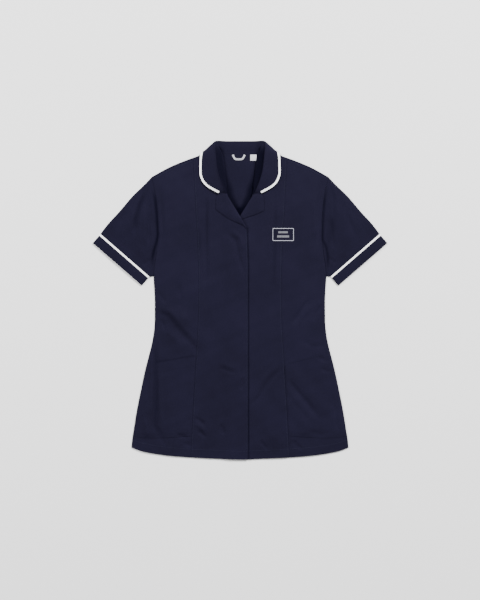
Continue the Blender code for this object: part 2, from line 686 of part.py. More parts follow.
def collar_sections() -> np.ndarray:
    """Middle of the collar's cloth: sections from one front end to the other, by points across, by 3."""
    rows = np.array([[s.seam, s.crest, s.turn, s.middle, s.edge] for s in COLLAR])
    count = (len(rows) - 1) * COLLAR_STATION_STEPS + 1
    at = np.arange(len(rows))
    places = np.linspace(0, len(rows) - 1, count)
    guides = np.stack(
        [[smooth_curve(at, rows[:, guide, axis])(places) for axis in range(3)] for guide in range(5)]
    ).transpose(2, 0, 1)
    seam, crest, turn, middle, edge = (guides[:, i] for i in range(5))

    def bend(
        start: np.ndarray, end: np.ndarray, leave: np.ndarray, arrive: np.ndarray, shares: tuple
    ) -> np.ndarray:
        """Cubic from each start to each end, by its tangents at both, read at some shares of the way."""
        t = np.asarray(shares)[None, :, None]
        start, end, leave, arrive = (part[:, None] for part in (start, end, leave, arrive))
        return (
            (2 * t**3 - 3 * t**2 + 1) * start
            + (t**3 - 2 * t**2 + t) * leave
            + (3 * t**2 - 2 * t**3) * end
            + (t**3 - t**2) * arrive
        )

    stand_way = crest - seam
    unit = stand_way / np.linalg.norm(stand_way, axis=1, keepdims=True)
    across = np.linalg.norm(turn - crest, axis=1, keepdims=True) * ROLL_FULLNESS
    leaf_way = middle - turn
    leaf_unit = leaf_way / np.linalg.norm(leaf_way, axis=1, keepdims=True)
    stand = bend(seam, crest, stand_way, stand_way, (0, 0.35, 0.7, 1))
    roll = bend(crest, turn, unit * across, leaf_unit * across, (0.25, 0.5, 0.75, 1))
    through = (edge - turn) / 2
    first = bend(turn, middle, leaf_way, through, (0.35, 0.7, 1))
    second = bend(middle, edge, through, edge - middle, (0.5, 1))
    half = np.concatenate([stand, roll, first, second], axis=1)
    return np.concatenate([mirrored(half[:0:-1], -1), half])


def surface_normals(grid: np.ndarray) -> np.ndarray:
    """Unit normals at the points of a grid."""
    normals = np.cross(np.gradient(grid, axis=0), np.gradient(grid, axis=1))
    return normals / np.linalg.norm(normals, axis=-1, keepdims=True)


def cut_across(grid: np.ndarray, starts: np.ndarray, ends: np.ndarray, columns: int) -> np.ndarray:
    """Each section of a grid, read again between two distances along it, at its own points where they fit."""
    out = []
    for line, start, end in zip(grid, starts, ends):
        along = np.concatenate([[0.0], np.cumsum(np.linalg.norm(np.diff(line, axis=0), axis=1))])
        inner = along[(along > start + POINT_SPACING) & (along < end - POINT_SPACING)]
        places = np.linspace(start, end, columns)
        if len(inner) == columns - 2:
            places = np.concatenate([[start], inner, [end]])
        out.append([[np.interp(place, along, line[:, axis]) for axis in range(3)] for place in places])
    return np.array(out)


def add_collar(tunic: Tunic) -> None:
    """The collar and, along its outer edge, the braid."""
    sections = collar_sections()
    lengths = np.linalg.norm(np.diff(sections, axis=1), axis=2).sum(axis=1)
    zero = np.zeros(len(sections))
    for name, starts, ends, columns, colour in (
        ("collar", zero, lengths - BRAID - SEAM, sections.shape[1] - 1, NAVY),
        ("collar_braid", lengths - BRAID, lengths, BRAID_COLUMNS, WHITE),
    ):
        middle = cut_across(sections, starts, ends, columns)
        to_face = surface_normals(middle) * CLOTH / 2
        tunic.add_wall(name, middle - to_face, middle + to_face, colour)


def add_back_neck(tunic: Tunic) -> None:
    """Hanging loop and blank size label, both caught in the back neck seam and lying on the back."""
    half = LOOP_WIDTH / 2
    left, right, low = LOOP_X[0] + half, LOOP_X[1] - half, LOOP_LOW_Y + half
    angles = np.linspace(0, np.pi / 2, 4)
    sag = [(left + LOOP_BEND * (1 - np.cos(a)), low + LOOP_BEND * (1 - np.sin(a))) for a in angles]
    path = [(left, NECK_SEAM_Y - SEAM), *sag]
    path += [(left + right - x, y) for x, y in path[::-1]]
    line = np.array(path)
    way = np.gradient(line, axis=0)
    way /= np.linalg.norm(way, axis=1, keepdims=True)
    across = np.stack([-way[:, 1], way[:, 0]], axis=1) * half
    plan = np.stack([line - across, line + across], axis=1)
    plan[[0, -1], :, 1] = NECK_SEAM_Y - SEAM

    def on_back(x: np.ndarray, y: np.ndarray) -> np.ndarray:
        """Height just above the back's upper side."""
        return back_under(x, y) + CLOTH + SEAM

    points = lifted(plan, on_back)
    tunic.add_wall("hanger_loop", points, raised(points, CLOTH), WHITE)
    corners = np.array([[(x, y) for x in LABEL_X] for y in LABEL_Y])
    points = lifted(corners, on_back)
    tunic.add_wall("size_label", points, raised(points, CLOTH), WHITE)


def build() -> None:
    """Clears the scene and makes the tunic."""
    for item in list(bpy.data.objects):
        bpy.data.objects.remove(item, do_unlink=True)
    tunic = Tunic()
    side_fronts = add_body(tunic)
    add_pockets(tunic, side_fronts)
    add_sleeves(tunic)
    add_collar(tunic)
    add_lapels(tunic)
    add_back_neck(tunic)


build()
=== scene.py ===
"""The looks of a navy work tunic laid flat on its back.

Every piece of cloth is a thin shell on its solid's form. A flat piece is a grid of plan points between its
four edges, lifted by one shared relief: the layers under it, the broad folds, and listed creases.
Sleeves and cuffs are flattened tubes, and the collar is carried through stations round the neck.
Lengths are millimetres in the garment's own plan until a mesh is made: x to the wearer's left, y up
towards the collar, z off the table.
"""

import json
import logging
import math
from collections.abc import Callable, Sequence
from dataclasses import dataclass, fields
from enum import Enum
from itertools import starmap

import bpy
import numpy as np
from numpy.typing import NDArray
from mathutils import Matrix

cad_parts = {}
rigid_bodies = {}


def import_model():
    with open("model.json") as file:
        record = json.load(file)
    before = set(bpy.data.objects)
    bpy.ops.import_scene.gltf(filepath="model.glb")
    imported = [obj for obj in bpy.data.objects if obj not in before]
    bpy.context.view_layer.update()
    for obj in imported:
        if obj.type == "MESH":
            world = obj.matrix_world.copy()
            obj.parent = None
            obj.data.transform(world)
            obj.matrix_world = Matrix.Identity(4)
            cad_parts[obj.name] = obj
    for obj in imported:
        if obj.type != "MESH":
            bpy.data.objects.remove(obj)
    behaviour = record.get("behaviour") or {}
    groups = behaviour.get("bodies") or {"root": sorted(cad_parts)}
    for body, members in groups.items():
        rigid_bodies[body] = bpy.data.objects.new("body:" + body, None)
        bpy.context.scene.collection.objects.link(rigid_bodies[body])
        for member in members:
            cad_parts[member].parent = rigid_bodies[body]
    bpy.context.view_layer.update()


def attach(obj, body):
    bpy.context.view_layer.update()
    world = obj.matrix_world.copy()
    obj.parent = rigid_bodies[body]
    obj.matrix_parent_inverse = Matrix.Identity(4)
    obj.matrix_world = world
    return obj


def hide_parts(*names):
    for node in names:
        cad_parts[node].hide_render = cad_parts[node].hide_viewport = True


Array = NDArray[np.float64]
Height = Callable[[Array, Array], Array]
Pair = tuple[float, float]
Path = tuple[Pair, ...]
Colour = tuple[float, float, float]
Piece = bpy.types.Object
Socket = bpy.types.NodeSocket

LOG = logging.getLogger("tunic")
MM = 0.001
# Name of the point attribute that holds painted shade: the share by which a piece's colour is darkened.
PAINTED_SHADE_ATTRIBUTE = "shade"


class Side(Enum):
    """The wearer's side that a piece is on, by the sign of its x."""

    LEFT = 1
    RIGHT = -1

    @property
    def word(self) -> str:
        """The side's name in node names."""
        return self.name.lower()


# Curves and grids


def ramp(value: Array) -> Array:
    """0 below 0, 1 above 1 and the cubic step 3t^2 - 2t^3 between."""
    t = np.clip(value, 0.0, 1.0)
    return t * t * (3 - 2 * t)


def rise(value: Array, start: float, over: float) -> Array:
    """The ramp of (value - start) / over."""
    return ramp((value - start) / over)


def bell(distance: Array, width: float) -> Array:
    """1 at distance 0, falling on both sides as exp(-(distance / width)^2)."""
    return np.exp(-((distance / width) ** 2))


def joined(*parts: Array | float) -> Array:
    """Points from their coordinates, which become the last axis."""
    return np.stack(np.broadcast_arrays(*parts), axis=-1)


def unit(vectors: Array) -> Array:
    """Vectors on the last axis, each divided by its length."""
    return vectors / np.linalg.norm(vectors, axis=-1, keepdims=True)


def spans(points: Array, axis: int = 0) -> Array:
    """Lengths between neighbouring points along one axis of a grid."""
    return np.linalg.norm(np.diff(points, axis=axis), axis=-1)


def run_along(line: Array) -> Array:
    """Distance of each point of a polyline from its first point."""
    return np.concatenate([[0.0], np.cumsum(spans(line))])


def hermite(start: Array, end: Array, leave: Array, arrive: Array, t: Array) -> Array:
    """Cubic from start to end whose tangents there are leave and arrive, at shares t of the way."""
    ahead, curl = t**3 - t**2, 3 * t**2 - 2 * t**3
    return (1 - curl) * start + (ahead - t**2 + t) * leave + curl * end + ahead * arrive


def smooth_curve(at: Sequence[float], values: Sequence[float]) -> Callable[[Array], Array]:
    """A cubic through the given points that doesn't swing past them, held flat beyond its ends.

    Each inner tangent is the weighted harmonic mean of the slopes on its two sides, and 0 at a turn.

    Args:
        at: Places along the curve, rising.
        values: The curve's value at each place.

    Returns:
        A function that reads the curve at any places.
    """
    places, heights = np.asarray(at, float), np.asarray(values, float)
    steps = np.diff(places)
    slopes = np.diff(heights) / steps
    tangents = np.concatenate([slopes[:1], np.zeros(len(heights) - 2), slopes[-1:]])
    before, after = slopes[:-1], slopes[1:]
    bends = before * after > 0
    near, far = 2 * steps[1:] + steps[:-1], steps[1:] + 2 * steps[:-1]
    mean = (near + far) / (near / np.where(bends, before, 1) + far / np.where(bends, after, 1))
    tangents[1:-1][bends] = mean[bends]

    def read(place: Array) -> Array:
        """The curve at some places."""
        where = np.clip(np.asarray(place, float), places[0], places[-1])
        i = np.clip(np.searchsorted(places, where, side="right") - 1, 0, len(places) - 2)
        leave, arrive = steps[i] * tangents[i], steps[i] * tangents[i + 1]
        return hermite(heights[i], heights[i + 1], leave, arrive, (where - places[i]) / steps[i])

    return read


def patch(bottom: Array, top: Array, left: Array, right: Array) -> Array:
    """Plan grid between four edges: the two straight blends across and along, less the corners' blend.

    Args:
        bottom: Points of the lowest row, columns by 2.
        top: Points of the highest row.
        left: Points of the first column, rows by 2.
        right: Points of the last column.

    Returns:
        Grid of rows by columns by 2.
    """
    u = np.linspace(0, 1, len(bottom))[None, :, None]
    v = np.linspace(0, 1, len(left))[:, None, None]
    corners = (
        (1 - u) * (1 - v) * bottom[0] + u * (1 - v) * bottom[-1] + (1 - u) * v * top[0] + u * v * top[-1]
    )
    return (1 - v) * bottom + v * top + (1 - u) * left[:, None] + u * right[:, None] - corners


def stretches(keys: Sequence[float], counts: Sequence[int]) -> Array:
    """Values that run evenly between key values, with a number of steps for each stretch."""
    runs = [np.linspace(a, b, n, endpoint=False) for a, b, n in zip(keys[:-1], keys[1:], counts)]
    return np.concatenate([*runs, [keys[-1]]])


def tightened(values: Array, axis: int, share: float = 0.12) -> Array:
    """A grid with one more line close beside each of its two borders, so that edges stay crisp.

    Args:
        values: Values on the grid's points.
        axis: The axis across which the borders lie.
        share: How far into the first cell the new line lies.

    Returns:
        The values on the finer grid.
    """
    lines = np.moveaxis(values, axis, 0)
    first = lines[:1] + (lines[1:2] - lines[:1]) * share
    last = lines[-1:] + (lines[-2:-1] - lines[-1:]) * share
    return np.moveaxis(np.concatenate([lines[:1], first, lines[1:-1], last, lines[-1:]]), 0, axis)


def along_line(line: Array, places: Array) -> Array:
    """Points read at distances along a polyline, n by the line's dimensions."""
    return np.stack([np.interp(places, run_along(line), values) for values in line.T], axis=1)


def path_distance(x: Array, y: Array, path: Path) -> tuple[Array, Array]:
    """Distance in plan from points to a polyline, and how far along it the nearest place is.

    Args:
        x: Plan x of each point.
        y: Plan y of each point.
        path: The polyline's points.

    Returns:
        The distance, and the share 0 to 1 of the line's length.
    """
    line = np.asarray(path, float)
    starts = run_along(line)
    best = np.full(np.broadcast(x, y).shape, np.inf)
    share = np.zeros_like(best)
    for (x0, y0), (x1, y1), length, start in zip(line[:-1], line[1:], spans(line), starts):
        dx, dy = x1 - x0, y1 - y0
        t = np.clip(((x - x0) * dx + (y - y0) * dy) / (length * length), 0.0, 1.0)
        away = np.hypot(x - x0 - t * dx, y - y0 - t * dy)
        closer = away < best
        best = np.where(closer, away, best)
        share = np.where(closer, (start + t * length) / starts[-1], share)
    return best, share


# The garment's measures


@dataclass(frozen=True)
class Measures:
    """Sizes of the tunic, the same as its solids have, in millimetres."""

    cloth: float = 1.0
    seam: float = 0.3
    loose: float = 0.7
    braid: float = 7.0
    braid_inset: float = 1.0
    cuff_braid: Pair = (23.9, 28.2)
    wrap: float = 19.5
    wrap_at_break: float = 16.8
    wrap_turn: float = 84.0
    underlap: float = 17.0
    break_y: float = 170.0
    gorge_y: float = 252.0
    neck_point: Pair = (50.0, 366.0)
    hem_y: float = -382.8
    hem_half_width: float = 260.4
    side_hem_y: float = -354.0
    hem_stitch: float = 20.0
    pocket_bottom_y: float = -326.0
    hip_y: float = -140.0
    underarm_y: float = 57.0
    shoulder_point: Pair = (212.0, 295.0)
    princess_top_x: float = 113.0
    princess_hem_x: float = 118.4
    cuff_outer: Pair = (353.2, 136.8)
    cuff_inner: Pair = (235.6, 34.6)
    collar_under: float = 1.9
    collar_gone: float = 152.0
    collar_side: float = 58.0
    collar_low: Pair = (262.0, 66.0)
    back_cloth: float = 0.92
    back_ripple: float = 0.1


SIZES = Measures()


@dataclass(frozen=True)
class Outline:
    """The cut's edges in plan, each a short table of points read as a smooth curve.

    Every table is pairs. `side`, `princess` and `neckline` give x at y; the others give y at x.
    """

    side: Path = (
        (-354, 260.4), (-336, 258.6), (-307, 254), (-278, 249.5), (-250, 244.5), (-221, 238.5), (-192, 232.5),
        (-163, 226), (-134, 218.5), (-106, 211.5), (-77, 206.4), (-48, 204.2), (-5, 204), (24, 205.2),
        (57, 207), (80, 205), (115, 199.6), (160, 196.4), (205, 197.6), (255, 203), (295, 212),
    )
    hem: Path = (
        (0, -382.8), (62, -380.4), (120, -377.6), (178, -372.6), (235, -363), (260.4, -354),
    )
    shoulder: Path = (
        (50, 366), (98, 346.2), (130, 334.8), (166, 320), (192, 306.4), (212, 295),
    )
    princess: Path = (
        (-376, 118.4), (-288, 114), (-218, 110), (-134, 105), (-48, 100.4), (21, 99), (79, 100), (158, 103),
        (206, 106), (259, 108.6), (343, 113),
    )
    neckline: Path = (
        (170, -16.8), (208, 4.5), (236, 21.6), (252, 30.4), (267, 33), (286, 35.6), (314, 38.6), (350, 43),
        (366, 50),
    )
    back_neck: Path = (
        (0, 351.6), (16, 351.8), (31, 353.2), (42, 358), (50, 366),
    )
    overarm: Path = (
        (212, 295), (228, 278), (257, 250), (290, 211.5), (317, 182), (332.8, 161.6),
    )


half_width, hem_line, shoulder_line, princess_x, neckline_x, back_neck_line, overarm_line = (
    smooth_curve(*zip(*getattr(Outline(), edge.name))) for edge in fields(Outline)
)


# Relief


@dataclass(frozen=True)
class Crease:
    """A soft ridge (height above 0) or trough (below 0) along a given line.

    It fades to its ends over a share of its length; without a fade it rounds off past them.
    """

    path: Path
    height: float
    width: float
    fade: float = 0.3
    overrun: float = 0.02

    def at(self, x: Array, y: Array) -> Array:
        """Bell across the line, times a ramp up from each end over the faded share of its length."""
        away, share = path_distance(x, y, self.path)
        height = self.height * bell(away, self.width)
        for from_end in (share, 1 - share) if self.fade else ():
            height = height * ramp((from_end + self.overrun) / self.fade)
        return height


def fold(x0: float, y0: float, x1: float, y1: float, height: float, width: float) -> Crease:
    """A broad fold of the solids: a straight crease that doesn't fade."""
    return Crease(((x0, y0), (x1, y1)), height, width, 0.0)


def summed(lines: Sequence[Crease], x: Array, y: Array) -> Array:
    """The bells of several lines added up."""
    return sum(line.at(x, y) for line in lines)


def soft_floor(value: Array, lowest: Array | float, blend: float = 0.35) -> Array:
    """The larger of two heights, with the change rounded: half of (sum + sqrt(difference^2 + blend^2))."""
    return 0.5 * (value + lowest + np.sqrt((value - lowest) ** 2 + blend**2))


def ripples(x: Array, y: Array, seed: int, size: float = 0.16) -> Array:
    """Slight unevenness of pressed cloth: ten long waves in mixed directions and phases.

    Args:
        x: Plan x.
        y: Plan y.
        seed: Picks the waves.
        size: Height of the sum, in millimetres.

    Returns:
        Height at each point.
    """
    rng = np.random.default_rng(seed)
    total = np.zeros(np.broadcast(x, y).shape)
    for _ in range(10):
        length, turn, phase = rng.uniform(26, 90), rng.uniform(0, math.tau), rng.uniform(0, math.tau)
        total = total + np.sin((x * math.cos(turn) + y * math.sin(turn)) * math.tau / length + phase)
    return total * size / 2


def seam_ditch(across: Array, depth: float = 0.55, width: float = 1.8) -> Array:
    """Dip at a sewn edge, at distances from it."""
    return -depth * bell(across, width)


def collar_lift(x: Array, y: Array) -> Array:
    """Share, 0 to 1, by which the folded collar lifts what lies over it."""
    return ramp((SIZES.collar_gone - np.abs(x)) / SIZES.collar_side) * rise(y, *SIZES.collar_low)


def back_under(x: Array, y: Array) -> Array:
    """Underside of the back: on the table, except over the folded collar."""
    return SIZES.collar_under * collar_lift(x, y)


def back_top(x: Array, y: Array) -> Array:
    """Upper surface of the back, where it shows in the neck, with slight ripples that a tanh limits."""
    most = SIZES.back_ripple
    return back_under(x, y) + SIZES.back_cloth + most * np.tanh(ripples(x, y, 3, most) / most)


@dataclass(frozen=True)
class FrontRelief:
    """Heights of the fronts: the back below, the folded collar's lift, folds, creases and the V neckline."""

    folds: tuple[Crease, ...] = tuple(starmap(fold, (
        (-186, 262, -178, 120, 1.5, 17), (184, 262, 180, 110, 1.4, 17), (-62, 236, -68, 40, 1.1, 16),
        (66, 236, 64, 60, 0.9, 16), (-188, -14, -136, -46, 1.6, 15), (-136, -46, -88, -98, 1.5, 16),
        (-178, -78, -146, -112, 1.3, 15), (-224, -210, -236, -322, 1.4, 14),
        (-182, -190, -176, -296, 1.2, 18), (126, -176, 200, -262, 1.5, 16), (92, -228, 160, -300, 1.1, 17),
        (-60, -262, -88, -344, 1.1, 18), (84, -330, 104, -372, 1.1, 16), (176, 32, 140, -18, 1, 18),
        (10, 130, -30, 92, 1, 18), (-40, -150, -6, -186, 0.9, 18),
    )))
    creases: tuple[Crease, ...] = tuple(starmap(Crease, (
        # Wearer's right, armhole to waist
        (((-191, 256), (-188, 205), (-186, 158), (-191, 108)), -0.6, 4.4),
        (((-181, 250), (-178, 200), (-177, 150)), 0.5, 4.6),
        (((-202, -29), (-172, -39), (-153, -68), (-122, -99), (-106, -117), (-103, -134)), -1.4, 6.2, 0.16),
        (((-196, -18), (-164, -29), (-142, -58), (-114, -88), (-96, -106)), 1, 6),
        (((-186, -58), (-166, -82), (-134, -112)), 1, 6.2),
        (((-191, -44), (-183, -60), (-174, -80)), -1.2, 4), (((-199, 20), (-186, 6), (-177, -8)), -1.3, 5.4),
        (((-150, 40), (-140, 4), (-146, -26)), -0.8, 6),
        # Wearer's right, below the waist
        (((-206, -90), (-201, -150), (-203, -176), (-203, -304), (-193, -324), (-180, -349)), -2.9, 5, 0.12),
        (((-213, -104), (-212, -160), (-213, -230), (-214, -316)), 1.7, 4.6),
        (((-192, -170), (-192, -250), (-186, -312)), 1.2, 5),
        (((-226, -282), (-225, -306), (-222, -330)), 1.3, 4),
        (((-109, -282), (-97, -289), (-83, -301)), -2, 3.8),
        (((-104, -313), (-92, -320), (-80, -331)), -1.8, 3.8),
        (((-110, -298), (-96, -304), (-82, -315)), 1.3, 4.2), (((-154, -324), (-126, -329)), -1.3, 3.8),
        (((-138, -344), (-114, -349)), -1.2, 3.6), (((-47, -296), (-43, -308), (-38, -324)), -1.4, 4.4),
        (((-48, -161), (-28, -170), (-7, -174)), -1.1, 5),
        (((-52, -150), (-30, -158), (-10, -163)), 0.6, 5.6), (((6, -184), (4, -216)), -1.1, 4.6),
        (((-74, -20), (-70, -70), (-78, -124)), -0.7, 7),
        # Both chest folds beside the princess seams
        (((-81, 254), (-82, 160), (-81, 60), (-83, 12)), -1.2, 3.8),
        (((-72, 250), (-73, 150), (-72, 50)), 0.7, 4.6),
        (((84, 254), (84, 150), (81, 70), (82, 20)), -1.4, 4), (((74, 250), (74, 150), (72, 60)), 0.8, 4.8),
        # Below the lapels
        (((-36, 163), (-12, 143), (-4, 106), (13, 56)), -1.7, 5), (((-24, 168), (2, 148), (9, 112)), 1.2, 5),
        # Wearer's left
        (((191, 268), (187, 226), (190, 190), (188, 120)), -1.7, 4.4),
        (((180, 258), (177, 200), (179, 140)), 1, 4.6), (((166, 5), (138, -38), (121, -61)), -1.4, 5),
        (((176, -6), (150, -44), (134, -66)), 0.8, 5.2), (((199, -10), (183, -30), (175, -54)), -1.3, 4.6),
        (((111, -186), (134, -215), (163, -248), (193, -289)), -1.5, 5.6),
        (((104, -200), (126, -230), (154, -262), (178, -294)), 0.8, 6),
        (((109, -156), (73, -190), (45, -234), (23, -255)), -1.3, 5.2),
        (((98, -150), (62, -184), (35, -226)), 0.8, 5.6),
        (((125, -337), (136, -349), (151, -359)), -1.6, 3.6),
        (((46, -337), (56, -348), (69, -358)), -1.6, 3.6), (((184, -137), (218, -148)), -1.3, 3.8),
        (((192, -165), (224, -174)), -1.3, 3.8), (((222, -224), (231, -286), (237, -320)), -1.3, 4.8),
        (((158, -315), (196, -322), (228, -315)), -0.9, 5.2),
        (((150, -96), (176, -112), (204, -108)), -0.8, 5.6),
    )))
    ripple_seed: int = 7
    swell: float = 0.9
    swell_fade: float = 34.0
    hem_swell: float = 0.35
    hem_fade: float = 60.0
    over_collar: float = 0.6
    roll_lift: float = 2.6
    roll_reach: float = 44.0
    side_drop: float = 0.9
    side_roll: float = 5.0
    least_inside: float = 1.72
    least_at_side: float = 1.1
    clear_lapel: float = 3.2
    lapel_middle_y: float = 196.0
    lapel_reach: float = 60.0
    underlap_x: Pair = (-46.0, 26.0)
    fine_at_side: Pair = (0.25, 12.0)
    fine_at_shoulder: Pair = (0.3, 14.0)

    def inside(self, x: Array, y: Array) -> Array:
        """0 at the side, armhole and shoulder edges, 1 well inside, and part of it at the open hem."""
        sides = ramp((half_width(y) - np.abs(x)) / self.swell_fade)
        shoulders = ramp((shoulder_line(np.abs(x)) - y) / self.swell_fade)
        hem = ramp((y - hem_line(np.abs(x))) / self.hem_fade)
        return sides * shoulders * (self.hem_swell + (1 - self.hem_swell) * hem)

    def fine_share(self, x: Array, y: Array) -> Array:
        """How much of the creases shows: all of it inside, and less at side seams and shoulders."""
        total = 1.0
        for inwards, (least, over) in (
            (half_width(y) - np.abs(x), self.fine_at_side),
            (shoulder_line(np.abs(x)) - y, self.fine_at_shoulder),
        ):
            total = total * (least + (1 - least) * ramp(inwards / over))
        return total

    def top(self, x: Array, y: Array) -> Array:
        """Upper surface: the solid's, with creases and ripples, rolled down at the side seams.

        The solid lies over the back with the collar's lift, the swell and folds, and a lift that falls as the
        square of the distance from the lapels' roll line. A soft floor keeps the sum above the back.

        Args:
            x: Plan x.
            y: Plan y.

        Returns:
            Height at each point.
        """
        roll_line = ((float(neckline_x(SIZES.gorge_y)), SIZES.gorge_y), (-SIZES.wrap_at_break, SIZES.break_y))
        from_roll, _ = path_distance(np.abs(x), y, roll_line)
        lift = self.roll_lift * np.clip(1 - from_roll / self.roll_reach, 0.0, 1.0) ** 2
        swell = (self.swell + summed(self.folds, x, y)) * self.inside(x, y)
        under = back_under(x, y)
        solid = under + 2 * SIZES.cloth + SIZES.seam + self.over_collar * collar_lift(x, y) + swell + lift
        at_side = 1 - ramp((half_width(y) - np.abs(x)) / self.side_roll)
        rolled = self.side_drop * at_side * (y < SIZES.underarm_y + 4)
        fine = (summed(self.creases, x, y) + ripples(x, y, self.ripple_seed)) * self.fine_share(x, y)
        least = self.least_inside - (self.least_inside - self.least_at_side) * at_side
        return soft_floor(solid + fine - rolled, under + least)

    def upper_top(self, x: Array, y: Array) -> Array:
        """Upper surface of the upper front, which also clears the lower front and its lapel."""
        over_underlap = (SIZES.cloth + SIZES.loose) * rise(x, *self.underlap_x)
        from_lapel = np.hypot(x, y - self.lapel_middle_y)
        over_lapel = self.clear_lapel * np.clip(1 - from_lapel / self.lapel_reach, 0.0, 1.0) ** 2
        return self.top(x, y) + over_underlap + over_lapel


@dataclass(frozen=True)
class NeckHollow:
    """Painted shade in the neck: how much the cloth's colour darkens, a little everywhere and most beside the
    roll, in place of the shade of the real tunic's deeper neck.
    """

    roll: Path = (
        (150, -26), (170, -16.8), (208, 4.5), (236, 21.6), (252, 30.4), (267, 36), (290, 47), (315, 53),
        (350, 58), (381, 62),
    )
    depth: tuple[tuple[Side, float], ...] = ((Side.LEFT, 0.70), (Side.RIGHT, 0.55))
    full_within: Pair = (6.5, 11.0)
    gone_past: Pair = (18.5, 27.0)
    everywhere: float = 0.1
    at_stand: float = 0.26
    at_foot: float = 0.5
    most: float = 0.97
    at_rim: float = 0.2
    turn_y: Pair = (225.0, 60.0)
    foot_y: Pair = (200.0, 34.0)
    stand_y: Pair = (345.0, 20.0)
    rim_y: Pair = (344.0, 36.0)

    def at(self, x: Array, y: Array) -> Array:
        """Each side's depth, full beside its roll line and gone further in, more so at the foot and stand.

        Args:
            x: Plan x.
            y: Plan y.

        Returns:
            Share of painted shade, which falls to a fifth of itself at the collar's upper rim.
        """
        edge = smooth_curve(*zip(*self.roll))(y)
        up = rise(y, *self.turn_y)
        near, far = (low + (high - low) * up for low, high in (self.full_within, self.gone_past))
        total = self.everywhere + self.at_foot * (1 - rise(y, *self.foot_y))
        total = total + self.at_stand * rise(y, *self.stand_y)
        for side, depth in self.depth:
            total = total + depth * (1 - rise(edge - side.value * x, near, far - near))
        return np.clip(total, 0.0, self.most) * (1 - (1 - self.at_rim) * rise(y, *self.rim_y))


@dataclass(frozen=True)
class SunkLines:
    """Painted shade along lines where shade falls: how much the cloth's colour darkens at armholes, fly edge,
    pocket openings and long folds.
    """

    lines: tuple[Crease, ...] = tuple(starmap(Crease, (
        (
            ((-210, 268), (-203.5, 243), (-201, 218), (-198.5, 187), (-197, 157), (-200.5, 138), (-206, 120),
             (-209.5, 104), (-210.5, 79)), 0.68, 3.8, 0.2,
        ),
        (((-224, 264), (-240, 226), (-250, 187), (-252, 158)), 0.24, 5),
        (((209, 272), (203, 241), (199, 187), (198, 146), (207, 126), (211, 104), (210, 70)), 0.5, 3.4, 0.2),
        (((221, 216), (219, 168), (212, 124)), 0.16, 9),
        (((17.6, 174), (20.5, 86), (20.7, -380)), 0.45, 1.7, 0.02),
        (((84, 230), (84, 150), (81, 70), (82, 20)), 0.16, 4.4),
        (((-78, 250), (-80, 160), (-79, 110)), 0.14, 4.4), (((-97, 175), (-97, 110)), 0.12, 4),
        (((-203, -100), (-202, -146), (-202, -200), (-203, -304), (-193, -330)), 0.2, 5, 0.15),
        (((-196, -30), (-174, -42), (-150, -75)), 0.12, 14),
        (((-104, -132.6), (-154, -140.8), (-180, -145), (-206, -149)), 0.26, 2.4, 0.12),
        (((108, -155), (163, -140.4), (186, -134.4)), 0.16, 2.4),
    )))

    def at(self, x: Array, y: Array) -> Array:
        """The lines' bells added up."""
        return summed(self.lines, x, y)


FRONT = FrontRelief()
# Painted shade: shares by which the cloth's colour is darkened, in the neck and along seams, edges and folds.
painted_neck_shade = NeckHollow().at
painted_line_shade = SunkLines().at


# Finishes


class Nodes:
    """Short calls for placing and joining shader nodes in one tree."""

    def __init__(self, tree: bpy.types.NodeTree) -> None:
        """Keeps the tree."""
        self.tree = tree

    def add(self, kind: str, **settings: object) -> bpy.types.Node:
        """A node with its settings."""
        node = self.tree.nodes.new(kind)
        for key, value in settings.items():
            setattr(node, key, value)
        return node

    def feed(self, target: Socket, source: Socket | float | Sequence[float]) -> None:
        """Joins a socket to an input, or sets the input's own value."""
        if isinstance(source, Socket):
            self.tree.links.new(source, target)
        else:
            target.default_value = source

    def math(self, operation: str, *values: Socket | float) -> Socket:
        """The result of a Math node, whose inputs are sockets or numbers."""
        node = self.add("ShaderNodeMath", operation=operation)
        for socket, value in zip(node.inputs, values):
            self.feed(socket, value)
        return node.outputs[0]

    def mix(self, share: Socket, *colours: Socket | Colour) -> Socket:
        """The blend of two colours, each a socket or a value, by a share that is held to 0 to 1."""
        node = self.add("ShaderNodeMix", data_type="RGBA", clamp_factor=True)
        for index, value in zip((0, 6, 7), (share, *colours)):
            self.feed(node.inputs[index], (*value, 1.0) if isinstance(value, tuple) else value)
        return node.outputs[2]

    def noise(self, place: Socket, scale: float, detail: float) -> Socket:
        """Soft noise at a scale, read at a place."""
        node = self.add("ShaderNodeTexNoise")
        for label, value in (("Vector", place), ("Scale", scale), ("Detail", detail)):
            self.feed(node.inputs[label], value)
        return node.outputs["Fac"]


